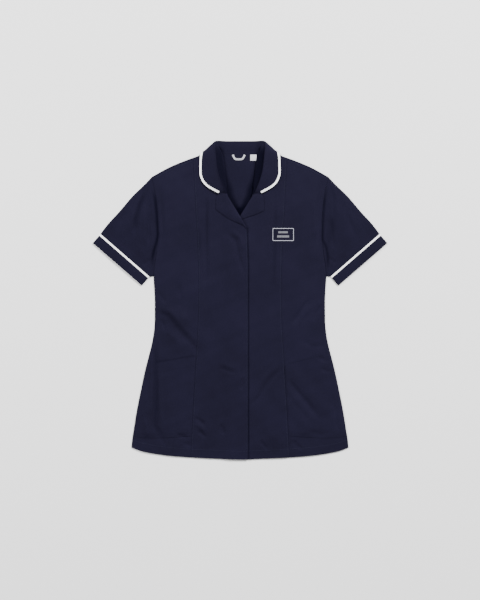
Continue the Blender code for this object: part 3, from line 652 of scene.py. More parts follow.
def weave_group() -> bpy.types.NodeTree:
    """Plain weave: two crossed sets of threads that take turns to lie on top.

    Height is the larger of the sines' sizes along each set, weighted by a checker that swaps which set is
    up. Grain is soft noise at the scale of a few threads, and Tone is slow unevenness over a hand's width.

    Returns:
        The group, made once.
    """
    found = bpy.data.node_groups.get("plain_weave")
    if found:
        return found
    group = bpy.data.node_groups.new("plain_weave", "ShaderNodeTree")
    ways = {"INPUT": ("Coordinate", "Threads per metre", "Slub"), "OUTPUT": ("Height", "Grain", "Tone")}
    for way, labels in ways.items():
        for label in labels:
            kind = "NodeSocketVector" if label == "Coordinate" else "NodeSocketFloat"
            group.interface.new_socket(label, in_out=way, socket_type=kind)
    nodes = Nodes(group)
    place, count, slub = nodes.add("NodeGroupInput").outputs[:3]
    sink = nodes.add("NodeGroupOutput")
    split = nodes.add("ShaderNodeSeparateXYZ")
    nodes.feed(split.inputs[0], place)
    waves = []
    for axis in (0, 1):
        angle = nodes.math("MULTIPLY", nodes.math("MULTIPLY", split.outputs[axis], count), math.pi)
        waves.append(nodes.math("SINE", angle))
    under = 0.35
    swap = nodes.math("GREATER_THAN", nodes.math("MULTIPLY", *waves), 0.0)
    warp = nodes.math("MULTIPLY", nodes.math("ABSOLUTE", waves[0]), nodes.math("ADD", swap, under))
    weft = nodes.math("MULTIPLY", nodes.math("ABSOLUTE", waves[1]), nodes.math("SUBTRACT", 1 + under, swap))
    grain, tone = nodes.noise(place, 420.0, 3.0), nodes.noise(place, 9.0, 4.0)
    height = nodes.math("ADD", nodes.math("MAXIMUM", warp, weft), nodes.math("MULTIPLY", grain, slub))
    for target, source in zip(sink.inputs, (height, grain, tone)):
        nodes.feed(target, source)
    return group


@dataclass(frozen=True)
class WovenFinish:
    """A woven cloth: colour with slow unevenness, thread bump, sheen and roughness, and painted shade that
    darkens the colour where a piece's shade attribute says.
    """

    name: str
    slot: str
    colour: Colour
    light: Colour
    roughness: float = 0.85
    sheen: float = 0.03
    specular: float = 0.08
    threads: float = 2200.0
    bump: float = 0.35
    slub: float = 0.6
    # Painted shade: the near-black blue that the colour is blended towards by the shade attribute.
    sunk: Colour = (0.0002, 0.0002, 0.0030)
    sheen_spread: float = 0.5
    thread_share: float = 0.22
    tone_share: float = 0.9
    grain_share: float = 0.5
    bump_depth: float = 0.0002

    def material(self) -> bpy.types.Material:
        """The finish as a material, made once, whose colour is blended towards a near-black blue by the
        painted shade in the piece's shade attribute.

        Its colour lies between the two given ones, by the threads' height plus slow tone and fine grain.

        Returns:
            A Principled material that reads the piece's UV map.
        """
        found = bpy.data.materials.get(self.name)
        if found:
            return found
        material = bpy.data.materials.new(self.name)
        material.use_nodes = True
        nodes = Nodes(material.node_tree)
        shader = material.node_tree.nodes["Principled BSDF"]
        weave = nodes.add("ShaderNodeGroup", node_tree=weave_group())
        place = nodes.add("ShaderNodeUVMap", uv_map="cloth")
        for label, value in (
            ("Coordinate", place.outputs[0]), ("Threads per metre", self.threads), ("Slub", self.slub)
        ):
            nodes.feed(weave.inputs[label], value)
        share = nodes.math("MULTIPLY", weave.outputs["Height"], self.thread_share)
        slow, fine = (
            nodes.math("MULTIPLY", nodes.math("SUBTRACT", weave.outputs[label], 0.5), much)
            for label, much in (("Tone", self.tone_share), ("Grain", self.grain_share))
        )
        amount = nodes.math("ADD", nodes.math("ADD", share, slow), nodes.math("ADD", fine, self.thread_share))
        cloth = nodes.mix(amount, self.colour, self.light)
        painted_shade_input = nodes.add("ShaderNodeAttribute", attribute_name=PAINTED_SHADE_ATTRIBUTE)
        bump = nodes.add("ShaderNodeBump")
        for label, value in (
            ("Strength", self.bump), ("Distance", self.bump_depth), ("Height", weave.outputs["Height"])
        ):
            nodes.feed(bump.inputs[label], value)
        for label, value in (
            # Painted shade: the base colour is blended towards the near-black blue by the shade attribute.
            ("Base Color", nodes.mix(painted_shade_input.outputs["Fac"], cloth, self.sunk)),
            ("Roughness", self.roughness),
            ("Sheen Weight", self.sheen),
            ("Sheen Roughness", self.sheen_spread),
            ("Sheen Tint", (*(value**0.5 for value in self.light), 1.0)),
            ("Specular IOR Level", self.specular),
            ("Normal", bump.outputs[0]),
        ):
            nodes.feed(shader.inputs[label], value)
        return material


NAVY = WovenFinish(
    "navy_poly_cotton", "navy_cloth", (0.0047, 0.0042, 0.0098), (0.0085, 0.0075, 0.0187), 0.85, 0.01, 0.03
)
WHITE_BRAID = WovenFinish(
    "white_flat_braid", "white_braid", (0.93, 0.93, 0.93), (0.98, 0.98, 0.98), 0.7, 0.05, 0.2, 900.0, 0.4, 0.3
)
GREY_TAPE = WovenFinish(
    "grey_loop_tape", "loop_tape", (0.25, 0.25, 0.275), (0.39, 0.39, 0.415), 0.6, 0.05, 0.2, 1200.0, 0.5, 0.3
)
LABEL_SATIN = WovenFinish(
    "white_label_satin", "label_cloth", (0.39, 0.39, 0.42), (0.51, 0.51, 0.55),
    0.45, 0.02, 0.3, 3000.0, 0.2, 0.2,
)
PRINT_LINE = WovenFinish(
    "pale_print_line", "white_braid", (0.36, 0.36, 0.42), (0.50, 0.50, 0.57), 0.6, 0.0, 0.2, 2200.0, 0.3, 0.4
)
PRINT_BAR = WovenFinish(
    "grey_print_bar", "white_braid", (0.08, 0.08, 0.092), (0.13, 0.13, 0.145), 0.6, 0.0, 0.2, 2200.0, 0.3, 0.4
)
NAVY_THREAD = WovenFinish(
    "navy_thread", "navy_cloth", (0.0060, 0.0064, 0.0160), (0.0120, 0.0130, 0.0310),
    0.6, 0.05, 0.15, 4000.0, 0.2,
)


# Making pieces


def placed(name: str, data: bpy.types.ID, place: Sequence[float] = (0.0, 0.0, 0.0)) -> Piece:
    """A new object in the scene, at a place in metres."""
    thing = bpy.data.objects.new(name, data)
    thing.location = place
    bpy.context.scene.collection.objects.link(thing)
    return thing


def made(name: str, points: Array, quads: Array, uv: Array, finish: WovenFinish) -> Piece:
    """A piece's mesh with its UV map and finish, riding on the part's one body.

    Args:
        name: The piece's name.
        points: Its corners, n by 3, in millimetres.
        quads: Indices of each face's corners.
        uv: Place of each corner on the weave, n by 2, in millimetres.
        finish: Its cloth or thread.

    Returns:
        The piece's object.
    """
    mesh = bpy.data.meshes.new(name)
    mesh.from_pydata((points * MM).tolist(), [], quads.tolist())
    mesh.uv_layers.new(name="cloth").data.foreach_set("uv", (uv * MM)[quads.ravel()].ravel())
    mesh.materials.append(finish.material())
    mesh.shade_smooth()
    piece = placed(name, mesh)
    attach(piece, "root")
    return piece


@dataclass
class Shell:
    """One piece of cloth: a grid of points on its outer surface, thickened inwards.

    Its name is its node's and a word more. Without the word it stands for no node. Its place on the weave is
    its plan unless uv says otherwise.
    """

    node: str
    grid: Array
    finish: WovenFinish
    thickness: float
    rests_on: tuple[str, ...] = ()
    word: str = "_cloth"
    uv: Array | None = None
    ring: bool = False
    flip: bool = False
    trim: bool = False
    # Painted shade on each grid point, which darkens the piece's colour.
    shade: Array | None = None

    def faces(self) -> Array:
        """Corner indices of the grid's quads, closed on themselves across a ring."""
        rows, columns = self.grid.shape[:2]
        index = np.arange(rows * columns).reshape(rows, columns)
        if self.ring:
            index = np.concatenate([index, index[:, :1]], axis=1)
        corners = (index[:-1, :-1], index[:-1, 1:], index[1:, 1:], index[1:, :-1])
        quads = np.stack([c.ravel() for c in corners], axis=1)
        return quads[:, ::-1] if self.flip else quads

    def build(self, with_pieces: Sequence[Piece] = ()) -> Piece:
        """Args:
            with_pieces: Trims sewn to or printed on this piece; not used.

        Returns:
            The piece's object.
        """
        shade = np.zeros(self.grid.shape[:2]) if self.shade is None else self.shade
        uv = self.grid[..., :2] if self.uv is None else self.uv
        for axis in (0,) if self.ring else (0, 1):
            self.grid, uv, shade = (tightened(values, axis) for values in (self.grid, uv, shade))
        name = self.node + self.word
        piece = made(name, self.grid.reshape(-1, 3), self.faces(), uv.reshape(-1, 2), self.finish)
        # The painted shade goes on the mesh as a point attribute.
        if self.shade is not None:
            tone = piece.data.attributes.new(PAINTED_SHADE_ATTRIBUTE, "FLOAT", "POINT")
            tone.data.foreach_set("value", shade.astype(np.float32).ravel())
        wall = piece.modifiers.new("wall", "SOLIDIFY")
        wall.thickness = self.thickness * MM
        wall.offset = -1.0
        wall.use_even_offset = False
        if self.word:
            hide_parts(self.node)
        if not self.trim:
            list(with_pieces)
        return piece


def lifted(plan: Array, height: Height, side: Side = Side.LEFT) -> Array:
    """Plan points put on their side and lifted to a height function of the garment's x and y."""
    x, y = plan[..., 0] * side.value, plan[..., 1]
    return joined(x, y, height(x, y))


def free_edge(y: Array, past: float, at_break: float) -> Array:
    """Plan x of a centre front's free edge, which draws in towards the break."""
    turns = (SIZES.hem_y, SIZES.break_y - SIZES.wrap_turn, SIZES.break_y)
    return np.interp(y, turns, (-past, -past, -at_break))


def on_curve(x: Array, curve: Callable[[Array], Array], shift: float = 0.0) -> Array:
    """Plan points on the hem, shoulder or neck curve, shifted up."""
    return joined(x, curve(np.abs(x)) + shift)


@dataclass
class Back:
    """The back: one panel from the hem to the shoulders and the neck seam."""

    columns_shoulder: int = 34
    columns_neck: int = 30
    rows: tuple[int, ...] = (8, 40, 46, 96)
    thickness: float = 0.8

    def plan(self) -> Array:
        """Plan grid between the hem, the two side edges, and the shoulders with the neck seam."""
        shoulder = np.linspace(SIZES.shoulder_point[0], SIZES.neck_point[0], self.columns_shoulder + 1)
        neck = np.linspace(SIZES.neck_point[0], 0.0, self.columns_neck + 1)[1:]
        right = np.concatenate([on_curve(shoulder, shoulder_line), on_curve(neck, back_neck_line)])
        top = np.concatenate([right * (-1, 1), right[-2::-1]])
        across = np.linspace(-SIZES.hem_half_width, SIZES.hem_half_width, len(top))
        keys = (SIZES.side_hem_y, SIZES.pocket_bottom_y, SIZES.hip_y, SIZES.underarm_y)
        heights = stretches((*keys, SIZES.shoulder_point[1]), self.rows)
        edge = joined(half_width(heights), heights)
        return patch(on_curve(across, hem_line), top, edge * (-1, 1), edge)

    def build(self, trims: Sequence[Piece]) -> None:
        """Makes the panel."""
        points = lifted(self.plan(), back_top)
        # Painted shade in the neck darkens the back's colour.
        shade = painted_neck_shade(points[..., 0], points[..., 1])
        Shell("back", points, NAVY, self.thickness, ("floor",), shade=shade).build(trims)


@dataclass
class Fronts:
    """The two centre fronts, the two side fronts and the pockets on them."""

    opening_left: Pair = (-157.0, -128.0)
    opening_right: Pair = (-134.0, -153.0)
    rows: tuple[int, ...] = (16, 62, 66, 90)
    columns: int = 52
    thickness: float = 0.7
    seam_half_gap: float = 0.05
    stitch_inset: float = 2.6
    stitch_y: Pair = (-372.0, 338.0)
    below_break: float = 6.0
    upper_hem_x: Pair = (-17.0, 116.0)
    lower_hem_x: Pair = (20.0, 116.0)
    side_hem_x: Pair = (120.0, 256.0)
    shoulder_x: Pair = (116.0, 206.0)
    shoulder_inset: float = 7.0
    pocket_size: Pair = (140.0, 200.0)
    pocket_off: float = 0.35
    pocket_rise: float = 0.8
    pocket_loose: float = 0.55
    pocket_hem: float = 0.25
    sewn_sides: float = 5.0
    sewn_foot: float = 14.0
    loose_from: Pair = (0.55, 0.45)
    hem_from: Pair = (0.87, 0.02)

    def height(self, side: Side, centre: bool) -> Height:
        """The relief that a panel lies on."""
        return FRONT.upper_top if side is Side.RIGHT and centre else FRONT.top

    def opening(self, side: Side) -> Pair:
        """Heights of a pocket's opening at the princess seam and at the side seam."""
        return self.opening_left if side is Side.LEFT else self.opening_right

    def princess(self, side: Side, shift: float) -> Array:
        """A panel's edge at the princess seam, where both panels share their rows."""
        keys = (
            hem_line(SIZES.princess_hem_x), SIZES.pocket_bottom_y, self.opening(side)[0], SIZES.underarm_y,
            shoulder_line(SIZES.princess_top_x),
        )
        rows = stretches(keys, self.rows)
        return joined(princess_x(rows) + shift, rows)

    def between(self, inner: Array, outer: Array) -> Array:
        """Plan of a panel between its inner and outer edge, from the hem to the shoulder."""
        hem_x, top_x = (np.linspace(inner[end, 0], outer[end, 0], self.columns + 1) for end in (0, -1))
        return patch(on_curve(hem_x, hem_line), on_curve(top_x, shoulder_line), inner, outer)

    def side_plan(self, side: Side) -> Array:
        """Plan of a side front: princess seam to side seam and armhole, a row on the pocket's opening."""
        at_side = (self.opening(side)[1], SIZES.underarm_y, SIZES.shoulder_point[1])
        rows = stretches((SIZES.side_hem_y, SIZES.pocket_bottom_y, *at_side), self.rows)
        return self.between(self.princess(side, self.seam_half_gap), joined(half_width(rows), rows))

    def centre_plan(self, side: Side) -> Array:
        """Plan of a centre front: free edge, lapel roll and neckline out to the princess seam."""
        upper = side is Side.RIGHT
        past, at_break = (SIZES.wrap, SIZES.wrap_at_break) if upper else (SIZES.underlap, SIZES.underlap)
        low, pocket, waist, arm = self.rows
        keys = (
            SIZES.hem_y, SIZES.pocket_bottom_y, SIZES.hip_y, SIZES.underarm_y, SIZES.break_y, SIZES.gorge_y,
            SIZES.neck_point[1],
        )
        rows = stretches(keys, (low, pocket, waist, arm // 3, arm // 3, arm - 2 * (arm // 3)))
        edge_x = np.where(rows > SIZES.break_y, neckline_x(rows), free_edge(rows, past, at_break))
        inner = joined(edge_x, rows)
        inner[0, 1] = hem_line(past)
        return self.between(inner, self.princess(side, -self.seam_half_gap))

    def centre_stitching(self, side: Side) -> list[Array]:
        """Plan lines of stitches on a centre front: princess seam, hem, and the upper one's free edge."""
        upper = side is Side.RIGHT
        y = np.linspace(*self.stitch_y, 500)
        x = np.linspace(*(self.upper_hem_x if upper else self.lower_hem_x), 120)
        lines = [joined(princess_x(y) - self.stitch_inset, y), on_curve(x, hem_line, SIZES.hem_stitch)]
        if upper:
            y = np.linspace(self.stitch_y[0], SIZES.break_y - self.below_break, 400)
            lines.append(joined(free_edge(y, SIZES.wrap, SIZES.wrap_at_break) + self.stitch_inset, y))
        return lines

    def side_stitching(self) -> list[Array]:
        """Plan lines of stitches on a side front: the hem and the shoulder seam."""
        hem_x, top_x = np.linspace(*self.side_hem_x, 120), np.linspace(*self.shoulder_x, 90)
        return [
            on_curve(hem_x, hem_line, SIZES.hem_stitch),
            on_curve(top_x, shoulder_line, -self.shoulder_inset),
        ]

    def cloth(self, node: str, points: Array, side: Side, rests_on: str) -> Shell:
        """A navy piece of the front on its side, whose colour is darkened by painted shade along seams, edges
        and folds.
        """
        shade = painted_line_shade(points[..., 0], points[..., 1])
        return Shell(node, points, NAVY, self.thickness, (rests_on,), flip=side is Side.RIGHT, shade=shade)

    def build(self, print_films: Sequence[Piece]) -> None:
        """Makes the four panels with their stitching, and the two pockets.

        Args:
            print_films: The chest print's pieces, passed to the left centre front's shell, which does not use
                them.
        """
        for side in Side:
            for part, plan, stitched in (
                ("centre", self.centre_plan(side), self.centre_stitching(side)),
                ("side", self.side_plan(side), self.side_stitching()),
            ):
                centre = part == "centre"
                height = self.height(side, centre)
                points = lifted(plan, height, side)
                points[..., 2] += seam_ditch(plan[..., 0] - princess_x(plan[..., 1]))
                name = f"front_{part}_{side.word}"
                lines = [lifted(line, height, side) for line in stitched]
                thread = Sewing().build(f"{name}_stitching", lines, NAVY_THREAD)
                films = print_films if centre and side is Side.LEFT else ()
                self.cloth(name, points, side, "back").build([thread, *films])
            self.build_pocket(points, side)

    def build_pocket(self, panel: Array, side: Side) -> None:
        """A patch pocket made from its side front's own points, moved out.

        It stands off more towards its opening, whose hem is doubled, and is sewn flat along its bottom.

        Args:
            panel: The side front's outer points.
            side: The wearer's side.
        """
        first = self.rows[0]
        rows = panel[first : first + self.rows[1] + 1].copy()
        up = np.linspace(0, 1, len(rows))[:, None]
        u = np.linspace(0, 1, rows.shape[1])
        wide, tall = self.pocket_size
        loose = self.pocket_loose * rise(up, *self.loose_from) * np.clip(4 * u * (1 - u), 0, 1) ** 0.6
        hem_roll = self.pocket_hem * rise(up, *self.hem_from)
        sewn = ramp(up * tall / self.sewn_foot)
        for share in (u, 1 - u):
            sewn = sewn * ramp(share * wide / self.sewn_sides)
        rows[..., 2] += self.pocket_off + self.pocket_rise * sewn + loose + hem_roll
        self.cloth(f"pocket_{side.word}", rows, side, f"front_side_{side.word}").build()


@dataclass
class Lapels:
    """The two turned-back lapels, each row running from the roll line to the outer edge."""

    edge: tuple[tuple[float, float, float], ...] = (
        (51.5, 256.5, 256.5), (57.5, 242, 242), (58, 217, 214), (38.6, 202.6, 205), (20, 190.6, 199),
        (4, 184, 193.5), (-7.2, 178.8, 187), (-15.6, 170.8, 182),
    )
    rows: int = 60
    columns: int = 28
    thickness: float = 1.0
    above_gorge: float = 2.5
    above_break: float = 1.6
    lower_foot_y: float = 184.0
    roll_inset: float = 0.3
    stand_off: float = 1.1
    puff: float = 1.5
    full_width: float = 30.0
    edge_ditch: Pair = (0.25, 1.3)

    def plan(self, side: Side) -> Array:
        """Plan of a lapel; its outer edge's points are x, then y for the upper and for the lower lapel."""
        upper = side is Side.RIGHT
        table = np.array(self.edge)[:, [0, 1 if upper else 2]]
        lengths = run_along(table)
        turn = self.rows // 3
        outer = along_line(table, stretches((0.0, lengths[2], lengths[-1]), (turn, self.rows - turn)))
        foot = SIZES.break_y + self.above_break if upper else self.lower_foot_y
        heights = np.linspace(SIZES.gorge_y + self.above_gorge, foot, self.rows + 1)
        roll = joined(neckline_x(heights) - self.roll_inset, heights)
        return roll[:, None] + (outer - roll)[:, None] * np.linspace(0, 1, self.columns + 1)[:, None]

    def build(self) -> None:
        """Makes both lapels: level with the front at the roll, a rounded stand-off beyond it."""
        for side in Side:
            plan = self.plan(side)
            points = lifted(plan, FRONT.upper_top if side is Side.RIGHT else FRONT.top, side)
            across = np.linalg.norm(plan - plan[:, :1], axis=2)
            width = across[:, -1:] + 1e-6
            u = np.clip(across / width, 0, 1)
            puff = self.puff * np.sin(np.pi * u**0.7) * np.clip(width / self.full_width, 0.15, 1.0)
            points[..., 2] += self.stand_off + puff + seam_ditch((1 - u) * width, *self.edge_ditch)
            below = (f"front_centre_{side.word}",)
            Shell(f"lapel_{side.word}", points, NAVY, self.thickness, below, flip=side is Side.LEFT).build()


@dataclass
class Collar:
    """The collar from its front ends round the neck, and the braid along its outer edge.

    Each station is one section of its left half: x, y, z of the cloth's middle at the neck seam, at the
    stand's crest, where the roll turns down, halfway down the leaf, and at the outer edge.
    """

    stations: tuple[tuple[tuple[float, float, float], ...], ...] = (
        ((0, 352.2, 2.4), (0, 381.2, 2.4), (0, 381.2, 0.5), (0, 360, 0.5), (0, 338, 0.5)),
        ((19.6, 352.8, 2.4), (22, 381.2, 2.4), (22, 381.2, 0.5), (24, 360, 0.5), (26, 338, 0.5)),
        ((31, 354.8, 2.4), (39, 381.2, 2.6), (41, 381.4, 0.6), (46, 360, 0.5), (50, 338, 0.5)),
        ((40.2, 359.2, 2.6), (50, 380.8, 3.6), (55, 381.6, 1.5), (64, 361.5, 0.6), (70, 338.6, 0.5)),
        ((46.4, 364, 3.6), (56.4, 379.4, 5.4), (62, 380, 3.4), (76, 364.5, 1.1), (83, 340.8, 0.5)),
        ((50.4, 368.6, 5.2), (59, 376.4, 7.6), (65.4, 375.6, 5.6), (83, 360.4, 1.8), (88, 342.6, 0.5)),
        ((48.6, 362, 6.5), (59.2, 370.4, 9.8), (66, 368.8, 8.6), (85.4, 359, 3.3), (93.2, 350.6, 0.9)),
        ((46, 356, 6.9), (58.6, 363, 11.4), (65.4, 361.4, 10.6), (83.6, 355, 7.4), (94.6, 352.4, 4.2)),
        ((43.4, 349, 7), (57.4, 354.4, 12.4), (64, 353, 11.9), (82, 347.2, 9), (96.4, 345.6, 7.2)),
        ((40.8, 334, 7), (55.8, 337, 13), (62.4, 336, 12.6), (81.6, 332.4, 9.6), (97.4, 331, 7)),
        ((38.6, 314, 6.8), (53.2, 315, 13), (59.6, 313.6, 12.6), (79, 309.6, 9.4), (97.8, 306, 6.6)),
        ((36.2, 292, 6.4), (48, 293, 12.6), (54, 291, 12.2), (73, 287.6, 9), (92.4, 286.4, 6.2)),
        ((33.8, 273, 6.3), (40.4, 272.4, 11.8), (46, 270.6, 11.5), (62, 269.6, 8.8), (80.6, 272, 6.2)),
        ((32.2, 263, 6.6), (35.8, 262.2, 11.4), (40.6, 260.8, 11.2), (52, 261.2, 9.2), (65.6, 262.6, 6.6)),
        ((29.8, 253.4, 8.6), (31.6, 253.4, 11.2), (35.4, 252.8, 11.2), (43, 253.8, 9.6), (51.6, 255.2, 7.4)),
    )
    steps: int = 12
    leaf_points: int = 60
    braid_points: int = 9
    bend_steps: tuple[int, ...] = (4, 10, 10, 10, 10)
    stand_foot: tuple[float, ...] = (1.6, 1.6, 0.2)
    stand_head: tuple[float, ...] = (0.4, 0.4, 1.8)
    roll_pull: float = 1.2
    apron: float = 2.8
    apron_end: Pair = (11.5, 1.5)
    apron_drop: float = 0.45
    end_rounding: float = 1.6
    end_roll: float = 3.6
    end_width: float = 9.0
    end_above: Pair = (6.4, 4.6)
    shade_end: float = 4.0
    braid_from: float = 0.55
    braid_samples: int = 40
    braid_out: float = 1.0
    braid_crown: float = 0.4
    half_cloth: float = 0.45
    thickness: float = 0.8
    braid_thickness: float = 0.9

    def sections(self) -> Array:
        """Middle of the cloth: sections from one front end to the other, by points across, by 3.

        Each section runs up the stand, over the roll as a cubic whose tangents are 1.2 times the roll's
        width, and down the leaf through its middle to the edge.

        Returns:
            Grid of sections by points by 3.
        """
        table = np.array(self.stations)
        at = np.arange(len(table))
        places = np.linspace(0, at[-1], at[-1] * self.steps + 1)
        seam, crest, turn, middle, edge = (
            joined(*(smooth_curve(at, values)(places) for values in guide.T))
            for guide in table.swapaxes(0, 1)
        )
        stand_way, leaf_way, through = crest - seam, middle - turn, (edge - turn) / 2
        pull = np.linalg.norm(turn - crest, axis=1, keepdims=True) * self.roll_pull
        low, steep = stand_way * self.stand_foot, stand_way * self.stand_head
        reach = self.apron * (1 - rise(places, *self.apron_end))[:, None]
        foot = seam - unit(stand_way * (1, 1, 0)) * reach
        foot[:, 2:] -= self.apron_drop * (seam[:, 2:] - seam[:1, 2:]) * reach / self.apron
        bends = (
            (foot, seam, seam - foot, seam - foot),
            (seam, crest, low, steep),
            (crest, turn, unit(steep) * pull, unit(leaf_way) * pull),
            (turn, middle, leaf_way, through),
            (middle, edge, through, edge - middle),
        )
        parts = [foot[:, None]]
        for guides, count in zip(bends, self.bend_steps):
            shares = np.linspace(0, 1, count + 1)[1:, None]
            parts.append(hermite(*(guide[:, None] for guide in guides), shares))
        half = np.concatenate(parts, axis=1)
        return np.concatenate([half[:0:-1] * (-1, 1, 1), half])

    @staticmethod
    def surface(sections: Array, start: float, count: int) -> tuple[Array, Array, Array]:
        """Evenly spaced points across the cloth's middle, with the normals of its outer side.

        Args:
            sections: The cloth's middle, sections by points by 3.
            start: Share of each section's length where the points begin; they end at the outer edge.
            count: Points across.

        Returns:
            Points, unit normals, and distances along the sections.
        """
        places = spans(sections, 1).sum(axis=1)[:, None] * np.linspace(start, 1, count)
        grid = np.stack([along_line(line, place) for line, place in zip(sections, places)])
        return grid, unit(np.cross(np.gradient(grid, axis=1), np.gradient(grid, axis=0))), places

    def ribbon(self, sections: Array) -> tuple[Array, Array]:
        """The braid: a strip of even width, square to the collar's outer edge and laid on its outer side.

        Each point starts straight across from the edge and is then moved along the normal onto the cloth,
        by the mean of its four nearest places there, weighted by 1 / (distance + 0.05).

        Args:
            sections: The cloth's middle, sections by points by 3.

        Returns:
            Points and their distances along and across the braid.
        """
        cloth, normals, _ = self.surface(sections, self.braid_from, self.braid_samples)
        edge, out = cloth[:, -1], normals[:, -1]
        way = unit(np.gradient(edge, axis=0))
        inward = np.cross(way, out)
        inward = unit(inward * np.sign(np.sum(inward * (cloth[:, -2] - edge), axis=1, keepdims=True)))
        share = np.linspace(0, 1, self.braid_points)
        width = SIZES.braid_inset / 2 + share * (SIZES.braid - 2 * SIZES.braid_inset)
        grid = edge[:, None] + inward[:, None] * width[:, None]
        rounding = self.end_rounding * (1 - np.sqrt(1 - (0.96 * (2 * share - 1)) ** 2))
        grid[0] += way[0] * rounding[:, None]
        grid[-1] -= way[-1] * rounding[:, None]
        samples = cloth.reshape(-1, 3)
        for row, normal in zip(grid, out):
            away = np.linalg.norm(samples - row[:, None], axis=2)
            near = np.argsort(away, axis=1)[:, :4]
            weight = 1 / (np.take_along_axis(away, near, axis=1) + 0.05)
            lift = np.sum((samples[near] - row[:, None]) * normal, axis=2)
            row += normal * np.average(lift, axis=1, weights=weight)[:, None]
        grid += out[:, None] * (self.braid_out - self.braid_crown * np.abs(2 * share - 1) ** 6)[:, None]
        grid[..., 2] = np.maximum(grid[..., 2], 0.0)
        return grid, joined(run_along(edge)[:, None], share * SIZES.braid)

    def build(self) -> None:
        """Makes the braid and the collar under it, whose front ends are rolled down onto the lapels."""
        sections = self.sections()
        strip, uv = self.ribbon(sections)
        braid = Shell(
            "collar_braid", strip, WHITE_BRAID, self.braid_thickness, uv=uv, flip=True, trim=True
        ).build()
        grid, normals, places = self.surface(sections, 0.0, self.leaf_points)
        grid = grid + normals * self.half_cloth
        x, y, z = np.moveaxis(grid, -1, 0)
        foot = self.bend_steps[0] + 1
        run = run_along(sections[:, foot])
        from_end = np.minimum(run, run[-1] - run)[:, None]
        z -= self.end_roll * bell(from_end, self.end_width) * rise(z, *self.end_above)
        z[:] = np.maximum(z, 0.0)
        stand = spans(sections[:, : foot + self.bend_steps[1]], 1).sum(axis=1)[:, None]
        # Painted shade in the neck on the collar's stand, fading out past the crest.
        shade = painted_neck_shade(x, y) * (1 - rise(places, stand, self.shade_end))
        Shell(
            "collar", grid, NAVY, self.thickness, ("front_centre_left", "front_centre_right", "floor"),
            uv=joined(run[:, None], places), flip=True, shade=shade,
        ).build([braid])


